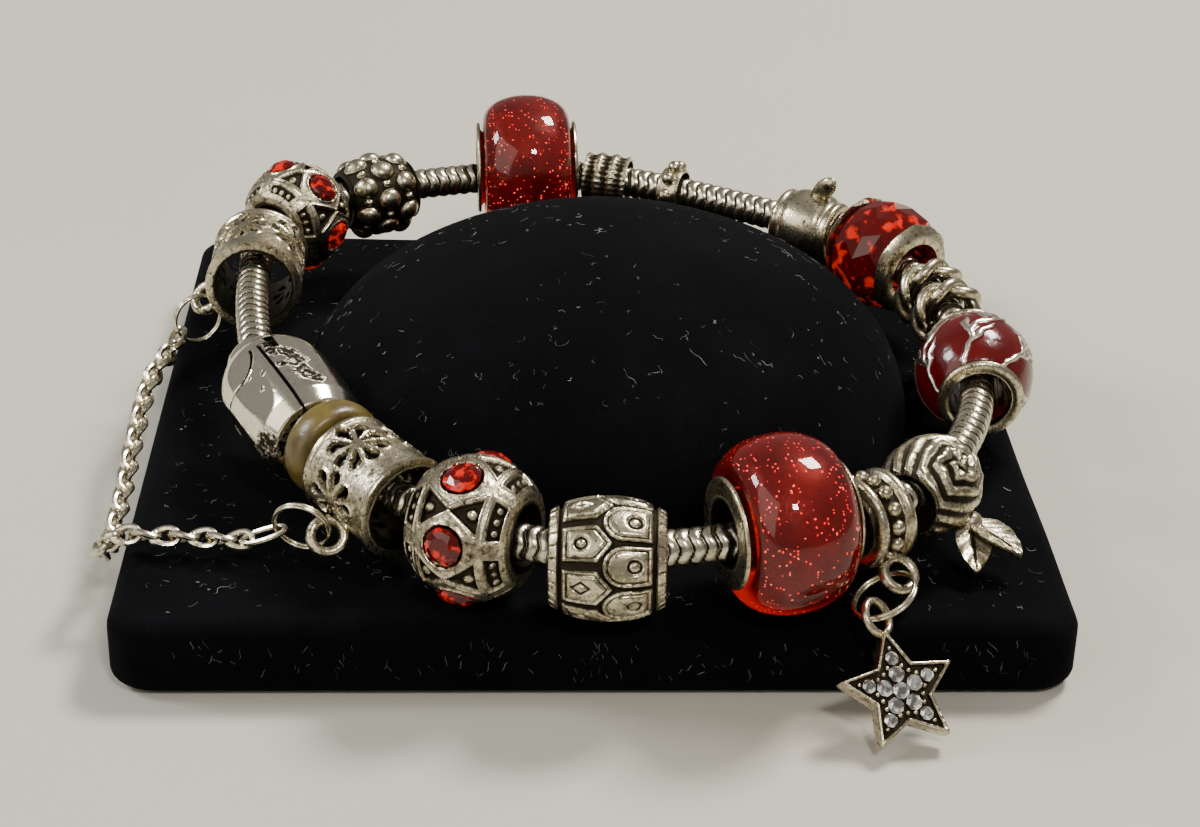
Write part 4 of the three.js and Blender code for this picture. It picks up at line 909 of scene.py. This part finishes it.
def glass_bead(name, seed):
    """The clear hoop, its red heart, its flakes and its flanged tube."""
    place = SEATS["glass_" + name]
    world_down = place[:3, :3].T @ np.array([-0.25, -0.35, -0.9])

    def painted_glow_below(x, angle, radius):
        """Depth carries a painted glow here, strong where the skin faces down."""
        low = -world_down[1] * np.sin(angle) + world_down[2] * np.cos(angle)
        return 0 * x, smooth(0.72, 1.0, low) * 0.9

    hoop = glass_hoop(0.0, 0.8, GLASS_HOLE, place=place, step=0.2, around=160)
    heart = glass_hoop(0.55, 1.4, GLASS_HOLE + 0.12, place=place, relief=painted_glow_below, step=0.25, around=120)
    make(f"glass_{name}_hoop", [hoop], red_glass, ["glass_" + name], sharp=70)
    make(f"glass_{name}_heart", [heart], glass_heart, sharp=70)
    make(f"glass_{name}_glitter", [flakes(place, seed)], glitter, sharp=5)
    face = GLASS_HALF + 0.3
    lip = [[-face - 0.4, 3.2], [-face - 0.4, 4.3], [-face - 0.2, 4.5], [-face, 4.45], [-face, 3.6]]
    tube = turned_bead(mirrored(lip + [[-3.4, 3.2]]), 2.7, place, step=0.12, around=120)
    cast(f"core_{name}_tube", "core_" + name, [tube])


glass_bead("front", 5)
glass_bead("back", 11)

# %% [markdown]
# Small silver pieces come next. The spacer is two plain rings with a row of grains between them and a
# thick loop for the star. The others are a ring of balls, a ribbed sleeve, a cast pebbled bead and a
# plain urn-shaped bead with a tab, whose hole is not cut but painted as a dark dot of shade on each face.

# %% Spacer, ring of balls, sleeve, pebbled bead, urn bead
place = SEATS["bail_spacer"]
spacer_outer = mirrored([[-1.9, 2.9], [-1.9, 3.45], [-1.6, 3.8], [-1.1, 3.75], [-0.8, 3.1]])
grains = [ball(about_x(0, 3.3, a), 0.62, place) for a in circle(14)]


def in_the_groove(x, angle, radius):
    """Dark between the two rings."""
    return 0 * x, smooth(1.0, 0.7, np.abs(x))


rings = turned_bead(spacer_outer, 2.5, place, in_the_groove)
cast("spacer_rings", "bail_spacer", [rings, *grains, hanging_loop(place, 130, 3.8, 90)])

place = SEATS["beaded_ring"]
pearls = [ball(about_x(0, 2.5, a), 0.68, place, 12, 18) for a in circle(9)]
cast("ring_of_balls", "beaded_ring", [turned_bead(mirrored([[-1.0, 2.1], [-1.0, 2.3]]), 2.0, place), *pearls])


def ribs(x, angle, radius):
    """Ribs along the length, a cosine, with fine cuts across them."""
    wave = 0.5 + 0.5 * np.cos(x / 4.4 * 3 * FULL)
    fine = 0.5 + 0.5 * np.cos(26 * angle)
    return -0.28 * wave - 0.10 * fine, np.clip(wave * 0.6 + 0.3 * fine, 0, 1)


def pebbles(x, angle, radius):
    """Three staggered rows of domes with a grain between each pair."""
    change, depth = np.full_like(x, -0.5), np.full_like(x, 0.9)
    for row, at in enumerate((-2.2, 0.0, 2.2)):
        for half, wide, tall in ((0, 1.15, 0.75), (1, 0.42, 0.45)):
            v = 3.8 * around_gap(7 * angle, np.pi * (row % 2 + half)) / 7
            dome = np.sqrt(np.clip(1 - ((x - at) ** 2 + v**2) / wide**2, 0, 1))
            change = np.maximum(change, tall * dome - 0.5)
            depth = np.minimum(depth, 0.9 - 0.9 * smooth(0, 0.5, dome))
    return change * smooth(3.6, 3.3, np.abs(x)), depth


sleeve = turned_bead(mirrored([[-2.2, 2.2], [-2.2, 2.6]]), 2.0, SEATS["ribbed_sleeve"], ribs)
pebble_outer = mirrored([[-3.6, 2.6], [-3.6, 2.9], [-2.6, 3.7], [-1.2, 3.95]])
cast("sleeve_ribs", "ribbed_sleeve", [sleeve])
cast("pebbled_bead", "textured_bead",
     [turned_bead(pebble_outer, 2.4, SEATS["textured_bead"], pebbles, step=0.12)], sharp=60)

place = SEATS["urn_bead"]
urn_outer = mirrored([[-3.1, 2.5], [-3.1, 2.9], [-2.7, 3.2], [-2.2, 2.95], [-1.6, 3.5], [0, 3.6]])
tab_place = place @ on_side(-0.35 * 3.1, 0, 3.6 + 0.3 * 2.2) @ turn("Y", -38)
tab = ball((0, 0, 0), [0.95, 0.5, 1.7], tab_place, 20, 30)
# Painted hole: a small ball on each face of the tab, darkened by full depth, stands for the shade inside its
# hole.
painted_hole_dots = [ball((0, side * 0.44, 0.75), 0.3, tab_place, depth=1.0) for side in (-1, 1)]
cast("urn_with_tab", "urn_bead", [turned_bead(urn_outer, 2.3, place), tab, *painted_hole_dots])

# %% [markdown]
# A knot spacer is a few turns of wire plaited round the chain. Each strand runs once round the bead
# while it winds about a ring inside the plait, which is a torus knot.

# %% Knot spacers


def knot(place):
    """Two thick strands: the angle about the plait's own ring grows by three turns for each turn round."""
    a = circle(240)
    collar = mirrored([[-0.9, 2.1], [-0.9, 2.4]])
    pieces = [turned_bead(collar, 2.0, place, lambda x, angle, radius: (0 * x, 0 * x + 0.9))]
    for swing in (3 * a, 3 * a + FULL / 2):
        path = about_x(0.62 * np.sin(swing), 2.72 + 0.30 * np.cos(swing), a)
        pieces.append(wire(path, 0.52, (1.0, 0, 0), sides=14, depth=0.1, place=place))
    return pieces


for name in ("knot_spacer_1", "knot_spacer_2"):
    cast(name + "_plait", name, knot(SEATS[name]))

# %% [markdown]
# The enamel bead is a red hoop with silver twigs raised through it and a rolled silver rim at each
# end. One mesh carries both: where the twigs run, a stored mask turns the red into metal.

# %% Enamel bead
ENAMEL_R, BRANCHES = 5.2, 6
ENAMEL_RIM = (4.5, 2.8), (4.5, 3.5), (4.75, 3.75), (5.1, 3.6), (5.2, 3.1), (5.1, 2.8)
SHOOTS = ((1, -2.6), (-1, -1.5), (1, -0.3), (-1, 0.8), (1, 1.9))  # side, and foot along the bead
enamel = Finish("red_enamel", Specular_IOR_Level=0.35, Coat_Weight=0.3, Coat_Roughness=0.08)
is_metal = enamel.step(enamel.stored("mask"), 0.35, 0.6)
cloud = enamel.mix(enamel.noise(0.4, 3.0), (0.030, 0.0005, 0.0005), (0.11, 0.0015, 0.0015))
enamel.on(Base_Color=enamel.mix(is_metal, cloud, (0.66, 0.61, 0.50)), Metallic=is_metal,
          Roughness=0.20 + is_metal * 0.06)
enamel.bump(enamel.noise(1.1, 2.0), 0.10, 0.6)


def twigs(x, angle):
    """Distance to the nearest twig. Wavy branches lean from rim to rim, evenly round the bead, and
    each has shoots that leave it to both sides in turn."""
    lean = 0.55 * x + 0.22 * np.sin(1.9 * x) + 0.10 * np.sin(5.1 * x)
    v = ENAMEL_R * around_gap(BRANCHES * (angle - lean / ENAMEL_R), 0) / BRANCHES
    near = np.abs(v)
    for side, foot in SHOOTS:
        out = side * v
        shoot = np.abs(0.75 * out - 0.66 * (x - foot)) + 0.06 * np.sin(6 * out)
        near = np.minimum(near, np.where((out > 0) & (out < 1.7), np.abs(shoot), 9))
    return near


enamel_outer = mirrored([[-4.2, 3.1], [-4.2, 3.5], [-3.0, 4.35], [-1.4, 5.0], [0, 5.1]])
hoop = turned_bead(enamel_outer, 2.6, SEATS["enamel_bead"],
                   relief=lambda x, angle, radius: (0.20 * peak(twigs(x, angle), 0.27), 0 * x),
                   mask=lambda x, angle: peak(twigs(x, angle), 0.29))
make("enamel_hoop", [hoop], enamel, ["enamel_bead"], sharp=60)
for number, side in ((1, -1), (2, 1)):
    rim = [[side * v, r] for v, r in ENAMEL_RIM]
    cast(f"enamel_rim_{number}_rolled", f"enamel_rim_{number}", [turned_bead(rim, 2.6, SEATS["enamel_bead"])])

# %% [markdown]
# The crystal bead is cut like a rondelle: rings of points, each turned half a step from the last, so
# that flat triangles catch the light one by one. Silver caps with fingers grip it from both ends.

# %% Crystal bead
place = SEATS["crystal_bead"]
FACETS = 14
RONDELLE = (  # place along, radius, and turn in facets
    (-3.1, 2.75, 0), (-3.1, 4.0, 0), (-2.2, 4.75, 0.5), (-0.75, 5.1, 0),
    (0.75, 5.1, 0.5), (2.2, 4.75, 0), (3.1, 4.0, 0.5), (3.1, 2.75, 0.5),
)
CAP = (  # place along, radius, and share of a finger's reach
    (4.3, 2.8, 0), (4.3, 3.2, 0), (4.05, 3.95, 0), (3.45, 4.4, 0.5), (3.4, 4.25, 0.5), (3.4, 2.8, 0),
)
grid = np.array([about_x(x, r, circle(FACETS) + s * FULL / FACETS) for x, r, s in RONDELLE])
make("crystal_rondelle", [part(grid, place=place)], red_crystal, ["crystal_bead"], sharp=6)
a = circle(140)
finger = 0.3 * smooth(0.2, 1.0, np.cos(6 * a))
for number, side in ((1, -1), (2, 1)):
    grid = np.array([about_x(side * x, r + share * finger, a) for x, r, share in CAP])
    cast(f"crystal_cap_{number}_cast", f"crystal_cap_{number}", [part(grid, place=place)])

# %% [markdown]
# The rosebud bead is a ball wrapped in overlapping petals. A spiral about the bud's own axis says
# where one petal lies over the next: the skin steps down at each edge. Two leaves hang from a knot.

# %% Rosebud bead
ROSE_R, ROSE_HALF, ROSE_FACE = 4.1, 3.5, math.radians(40)
LEAF_LONG, LEAF_WIDE, LEAF_THICK = 5.2, 2.9, 0.7


def bloom(x, angle, radius):
    """Rolled petals: distance from the bud's axis plus a share of the angle about it, taken modulo one
    petal's width, climbs to each petal's lip and then drops."""
    v = ROSE_R * around_gap(angle, ROSE_FACE)
    far, about = np.hypot(x, v), np.arctan2(v, x)
    t = (far / 1.45 + about / FULL * 2 + 0.34 * np.abs(np.sin(2.5 * about))) % 1
    lip = smooth(0.0, 0.72, t) * smooth(1.0, 0.86, t)
    veins = 0.06 * np.sin(9 * about + 2 * far)
    return -0.42 + (0.5 + veins) * lip, np.clip(1 - 1.15 * lip, 0, 1)


def leaf(direction, start):
    """A leaf: half width a sine of the way along, with a sunk midrib, a droop and a little cup."""
    point = unit(direction)
    face = unit(np.array([0, 0, 1.0]) - point * point[2])
    across = np.cross(face, point)
    t, w = np.meshgrid(np.linspace(0, 1, 40), np.linspace(-1, 1, 25), indexing="ij")
    half = LEAF_WIDE / 2 * np.sin(np.pi * t**0.8) ** 0.75 + 0.03
    midrib, veins = peak(w, 0.12), np.cos(22 * (t - 0.3 * np.abs(w)))
    rise = 0.35 * w**2 * np.sin(np.pi * t) - 0.12 * midrib + 0.04 * veins + LEAF_THICK / 2
    steps = (point, LEAF_LONG * t), (across, half * w), (face, rise)
    upper = start + sum(direction * step[..., None] for direction, step in steps)
    lower = upper - face * (LEAF_THICK * np.sqrt(np.clip(1 - 0.9 * w**2, 0.05, 1)))[..., None]
    grid = np.concatenate([upper, lower[:, ::-1]], 1)
    ends = [np.broadcast_to(row.mean(0), (1, *row.shape)) for row in (grid[0], grid[-1])]
    depth = np.hstack([0.8 * midrib + 0.125 * (1 - veins), np.full_like(w, 0.5)])
    return part(np.concatenate([ends[0], grid, ends[1]]), wrap_rows=False,
                depth=np.vstack([depth[:1], depth, depth[-1:]]))


place = SEATS["rosebud_bead"]
rose_outer = mirrored([[-3.5, 2.8], [-3.5, 3.03], [-1.75, 3.85], [0, 4.1]])
knot_at = place @ on_side(0.34 * ROSE_HALF, math.radians(130), ROSE_R + 0.3)
headings = np.array([[-0.75, -0.54, -0.36], [-0.12, -0.97, -0.2]]) @ place[:3, :3].T
leaves = [leaf(heading, knot_at[:3, 3]) for heading in headings]
bud = [turned_bead(rose_outer, 2.5, place, bloom, step=0.11), ball((0, 0, 0), 1.0, knot_at, 14, 20)]
cast("rosebud_petals", "rosebud_bead", bud + leaves, sharp=55)

# %% [markdown]
# The clasp is a polished barrel that opens along its length. Its back end is one piece with the body;
# in front of the hinge the barrel is two half shells, and the outer one is the jaw. Both start as
# their own solids, cut small, with the faceted outside drawn onto a smooth one.

# %% Clasp
CLASP_R, FLAT_R, FLATS = 4.9, 4.62, 6
CLASP_SIDE, CUT_SMALL, CUTS = np.pi / 8, 0.32, 6
CLASP_LINE = np.array([[-6.9, 2.7], [-5.7, 2.7], [-4.69, 3.92], [-3.17, 4.655], [-1.52, 4.9], [2.76, 4.9],
                       [5.38, 4.606], [6.9, 3.92]])
clasp_seat = seat(0, roll=20)
# where the skin is worn to a dark crust: place along the clasp, angle from its top, and size
WORN = [(-1.8, -0.12, 0.8), (-0.8, -0.22, 1.0), (-0.2, -0.42, 1.0), (0.9, -0.48, 1.0), (2.2, -0.40, 1.0),
        (3.3, -0.42, 1.1), (4.3, -0.55, 0.8), (1.5, -0.14, 0.5), (1.2, 0.22, 0.28), (2.6, 0.40, 0.3),
        (0.2, 0.5, 0.25), (6.2, 1.12, 1.3), (5.3, 1.38, 0.8)]


def skin(x, angle):
    """The barrel's smooth radius: a rounded profile, shaved by six flats to their distance over a cosine."""
    line = np.vstack([CLASP_LINE[:1], eased(CLASP_LINE[1:-1], 2), CLASP_LINE[-1:]])
    flat = FLAT_R / np.cos(around_gap(FLATS * angle, np.pi) / FLATS)
    return np.minimum(np.interp(x, *line.T), flat)


def polished(name, title, body):
    """A finer copy of a clasp solid: its faces are split until small, and the points on the faceted
    outside move to the smooth skin. The seam, slot and pin stay as they are cut."""
    work = bmesh.new()
    work.from_mesh(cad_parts[name].data)
    bmesh.ops.remove_doubles(work, verts=work.verts, dist=1e-6)
    for _ in range(CUTS):
        long = [edge for edge in work.edges if edge.calc_length() > CUT_SMALL * MM]
        if long:
            bmesh.ops.subdivide_edges(work, edges=long, cuts=1)
            bmesh.ops.triangulate(work, faces=work.faces)
    mesh = bpy.data.meshes.new(title)
    work.to_mesh(mesh)
    work.free()
    turned, middle = clasp_seat[:3, :3], clasp_seat[:3, 3]
    local = (points_of(mesh) - middle) @ turned
    x, y, z = local.T
    radius, angle = np.hypot(y, z), np.arctan2(-y, z)
    nearest = np.mod(angle, CLASP_SIDE) - CLASP_SIDE / 2
    facet = np.interp(x, *CLASP_LINE.T) * np.cos(CLASP_SIDE / 2) / np.cos(nearest)
    outside = (radius > facet - 0.03) & (np.abs(x) < CLASP_HALF - 0.02)
    worn = np.where(radius < facet - 0.3, 0.5, 0.0)
    for at, where, size in WORN:
        away = np.hypot(x - at, CLASP_R * around_gap(angle, where)) / size
        worn = np.maximum(worn, 0.72 * peak(away**2, 1))
    new = np.where(outside, skin(x, angle), radius)
    local[:, 1:] *= (new / np.maximum(radius, 1e-6))[:, None]
    mesh.vertices.foreach_set("co", ((local @ turned.T + middle) * MM).astype(np.float32).ravel())
    store(mesh, "depth", worn)
    mesh.update()
    mesh.materials.clear()
    piece(title, mesh, BRIGHT_SILVER, [name], 28, body)


polished("clasp_body", "clasp_body_polished", "base")
polished("clasp_jaw", "clasp_jaw_polished", "jaw")

# %% [markdown]
# Jump rings are thin wire wound twice, so each shows as two fine lines side by side. The star's own
# ring is made the same way.

# %% Jump rings


def ring_place(name):
    """A ring solid's frame, from the plane that fits its points best, and its outside diameter."""
    points = np.unique(np.round(points_of(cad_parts[name].data), 4), axis=0)
    middle = points.mean(0)
    first, second, _ = np.linalg.svd(points - middle, full_matrices=False)[2]
    place = frame_of(first, second, np.cross(first, second), middle)
    return place, 2 * np.linalg.norm(points - middle, axis=1).max()


for name in ("jump_ring_front", "jump_ring_back", "star_ring"):
    place, diameter = ring_place(name)
    turns = [loop(diameter - 0.1, 0.3, place @ move(0, 0, z)) for z in (-0.15, 0.15)]
    make(name + "_wound", turns, CHAIN_SILVER, [name])

# %% [markdown]
# The safety chain is a curb chain: oval links of thick wire, each twisted so that they lie flat
# against each other. Each link is a circle stretched along the chain and bent out of its plane.

# %% Safety chain
SLAB_LEFT = -38.5
SAFETY_LINE = [
    [-27.7, -28.2, 8.6], [-31.0, -27.4, 8.3], [-35.2, -26.9, 8.2], [SLAB_LEFT, -26.7, 8.1],
    [SLAB_LEFT - 1.6, -25.6, 6.1], [SLAB_LEFT - 1.6, -22.2, 4.6], [SLAB_LEFT - 1.5, -15.0, 4.9],
    [SLAB_LEFT - 1.5, -6.0, 6.0], [SLAB_LEFT - 1.0, 2.0, 7.6], [SLAB_LEFT + 0.8, 8.2, 8.6],
]
LINK_PITCH, LINK_LONG, LINK_WIDE, LINK_THICK, LINK_LEAN = 1.52, 2.8, 2.05, 0.58, math.radians(38)
END_WIDE, END_THICK = 1.9, 0.5
safety = Line(SAFETY_LINE, False)


def oval(ahead, side, long, wide, thick, a):
    """An oval's middle line: half its length along one direction and half its width along another."""
    x, y = (long - thick) / 2 * np.cos(a), (wide - thick) / 2 * np.sin(a)
    return ahead * x[:, None] + side * y[:, None]


def curb_links():
    """Links of 2.8 by 2.05 mm every 1.5 mm, each turned 38 degrees about the chain, one way and then
    the other."""
    links, a, leaning = [], circle(30), np.array([0.25, 0.1, 1.0])
    count = int((safety.length - 1.0) / LINK_PITCH)
    s = 0.9 + np.arange(count) * (safety.length - 1.8) / (count - 1)
    ahead = unit(safety.at(np.minimum(s + NEAR, safety.length)) - safety.at(np.maximum(s - NEAR, 0)))
    for i, (middle, along) in enumerate(zip(safety.at(s), ahead)):
        up = unit(leaning - along * (leaning @ along))
        lean = LINK_LEAN if i % 2 else -LINK_LEAN
        flat = np.cross(up, along) * math.cos(lean) + up * math.sin(lean)
        over = np.cross(along, flat)
        path = oval(along, flat, LINK_LONG, LINK_WIDE, LINK_THICK, a) + over * (0.16 * np.sin(2 * a))[:, None]
        links.append(wire(path + middle, LINK_THICK / 2, over, sides=8))
    return links


def end_link(name, distance):
    """A link from the chain's end to the nearest place on a jump ring. It lies square to the ring's wire,
    so that the wire passes through it."""
    place, diameter = ring_place(name)
    end, middle, normal = safety.at(distance), place[:3, 3], place[:3, 2]
    reach = unit((end - middle) - normal * ((end - middle) @ normal))
    target = middle + reach * (diameter / 2 - 0.3)
    ahead = unit(target - end)
    side = unit(np.cross(unit(np.cross(normal, reach)), ahead))
    long = np.linalg.norm(target - end) + 1.5
    path = oval(ahead, side, long, END_WIDE, END_THICK, circle(36))
    return wire(path + (target + end) / 2 + ahead * 0.1, END_THICK / 2, np.cross(ahead, side), sides=8)


ends = [end_link("jump_ring_front", 0.4), end_link("jump_ring_back", safety.length - 0.4)]
make("safety_links", curb_links() + ends, CHAIN_SILVER, ["safety_chain"])

# %% [markdown]
# The star is a plate with a raised rim, set edge to edge with small clear stones held by grains of
# silver. It hangs from a ring of its own over the slab's front edge.

# %% Star charm
STAR_MIDDLE, STAR_TOP, STAR_FOOT = np.array([[23.1, -43.0, 3.9], [21.9, -39.3, 7.3], [24.1, -45.8, 1.0]])
star_up, star_out = unit(STAR_TOP - STAR_FOOT), np.array([0.21, -0.655, 0.726])
star_out = unit(star_out - star_up * (star_out @ star_up))
star_place = frame_of(np.cross(star_up, star_out), star_up, star_out, STAR_MIDDLE)
REACH, WAIST, STAR_LOOP, STAR_WIRE = 5.0, 0.5, 3.4, 0.65
STAR_STEPS = (  # share of the outline, height in millimetres, and depth
    (0, -0.75, 0.3), (0.9, -0.75, 0.3), (0.985, -0.7, 0.1), (1, -0.55, 0), (1, 0.5, 0), (0.985, 0.68, 0),
    (0.955, 0.75, 0), (0.915, 0.75, 0), (0.89, 0.68, 0.1), (0.875, 0.5, 0.7), (0.87, 0.25, 1), (0.6, 0.22, 1),
    (0.3, 0.22, 1), (0, 0.22, 1),
)


def star_outline(angle):
    """The star's radius at an angle: five tips and five inner corners, each corner swapped for three
    close points and then cut round."""
    reach = np.where(np.arange(10) % 2, REACH * WAIST, REACH)
    corners = polar(reach, circle(10) + QUARTER)[:, :2]
    before, after = np.roll(corners, 1, 0), np.roll(corners, -1, 0)
    close = np.stack([corners + (before - corners) * 0.1, corners, corners + (after - corners) * 0.1], 1)
    line = eased(close.reshape(-1, 2), 2, closed=True)
    about = np.mod(np.arctan2(line[:, 1], line[:, 0]), FULL)
    order = np.argsort(about)
    return np.interp(np.mod(angle, FULL), about[order], np.hypot(*line.T)[order], period=FULL)


def star_plate():
    """Rings of the outline, drawn in step by step: over the rounded rim, down to the sunk face, then
    across it, and round the back."""
    a = circle(360) + QUARTER
    r = star_outline(a)
    grid = np.array([polar(share * r, a, z) for share, z, _ in STAR_STEPS])
    return part(grid, wrap_rows=False, depth=np.array(STAR_STEPS)[:, 2:], place=star_place)


TIPS = circle(5) + QUARTER
spots = [(0, 0, 0.70), *((0.265 * REACH, a, 0.67) for a in TIPS), *((0.52 * REACH, a, 0.56) for a in TIPS)]
stones = [cut_stone(2 * size, star_place @ move(*polar(d, a, 0.46)), 8, 0.3) for d, a, size in spots]
prongs = [(0.40 * REACH, a + s) for a in TIPS for s in (-0.3, 0.3)]
prongs += [(0.36 * REACH, a + FULL / 10) for a in TIPS] + [(0.68 * REACH, a) for a in TIPS]
prong_balls = [ball(polar(d, a, 0.42), 0.2, star_place, 7, 10) for d, a in prongs]
hung = star_place @ move(0, REACH + STAR_LOOP / 2 - STAR_WIRE, 0) @ turn("Y", 30)
cast("star_rimmed", "star_charm", [star_plate(), *prong_balls, loop(STAR_LOOP, STAR_WIRE, hung)], sharp=50)
make("star_stones", stones, clear_stone, sharp=8)

# %% [markdown]
# Black velvet never stays clean. Short pale hairs of lint lie on it here and there, each a thin bent
# wire, and they do more than anything else to show how large the stand is.

# %% Lint
lint_finish = Finish("lint", Roughness=0.8)
lint_finish.on(Base_Color=lint_finish.ramp(lint_finish.noise(0.5), 0.4, 0.65,
                                           (0.02, 0.02, 0.022), (0.24, 0.235, 0.23)))
SPREAD, CLEAR = 36, 0.03  # how far from the middle the hairs lie, and how far above the velvet


def lint(count, seed):
    """Thin curly hairs on the mound and slab: each has a place, a heading, a length, a bend and a wiggle."""
    rng = np.random.default_rng(seed)
    spot = rng.uniform(-SPREAD, SPREAD, (count, 2))
    heading, long = rng.uniform(0, FULL, count), rng.gamma(1.6, 0.4, count) + 0.25
    bend, wiggle = rng.normal(0, 1.6, count), rng.normal(0, 1.2, count)
    thick = rng.uniform(0.010, 0.024, count)
    t = np.linspace(-0.5, 0.5, 9)
    turnings = heading[:, None] + bend[:, None] * t + wiggle[:, None] * np.sin(9 * t)
    xy = spot[:, None] + np.cumsum(polar((long / 8)[:, None], turnings)[..., :2], 1)
    away = np.linalg.norm(xy - MOUND_MIDDLE, axis=-1) / MOUND_WIDE
    dome = MOUND_FOOT + MOUND_TALL * np.sqrt(np.clip(1 - away**2, 0, 1))
    z = np.where(away < 0.985, dome, SLAB_TALL) + CLEAR
    paths = np.concatenate([xy, z[..., None]], -1)
    return [wire(path, radius, (0, 0, 1.0), sides=3, closed=False)
            for path, radius in zip(paths, thick) if np.ptp(path[:, 2]) < 1.5]


def front_lint(count, seed):
    """Short hairs that cling to the slab's front face."""
    rng = np.random.default_rng(seed)
    t = np.linspace(0, 1, 5)
    x = rng.uniform(-SPREAD, SPREAD, (count, 1)) + rng.normal(0, 0.35, (count, 1)) * t + 0.08 * np.sin(6 * t)
    z = rng.uniform(1.4, 4.6, (count, 1)) + rng.uniform(0.2, 1.1, (count, 1)) * t
    paths = np.stack([x, 0 * x - SLAB_HALF[1] - 0.02, z], -1)
    return [wire(p, 0.014, (0, 1.0, 0), sides=3, closed=False) for p in paths]


make("lint_hairs", lint(1000, 3) + front_lint(110, 4), lint_finish)

# %% [markdown]
# The floor is a plain pale sheet, wide enough to fill the picture. It isn't part of the object.

# %% Floor
WIDE, DROP = 3, -0.0001  # metres
floor_finish = Finish("floor", Roughness=0.75)
floor_finish.on(Base_Color=floor_finish.mix(floor_finish.noise(0.02, 4.0),
                                            (0.405, 0.392, 0.335), (0.430, 0.416, 0.355)))
mesh = bpy.data.meshes.new("floor")
corners = [(sx * WIDE, sy * WIDE, DROP) for sx, sy in ((-1, -1), (1, -1), (1, 1), (-1, 1))]
mesh.from_pydata(corners, [], [(0, 1, 2, 3)])
mesh.materials.append(floor_finish.material)
placed("floor", mesh)
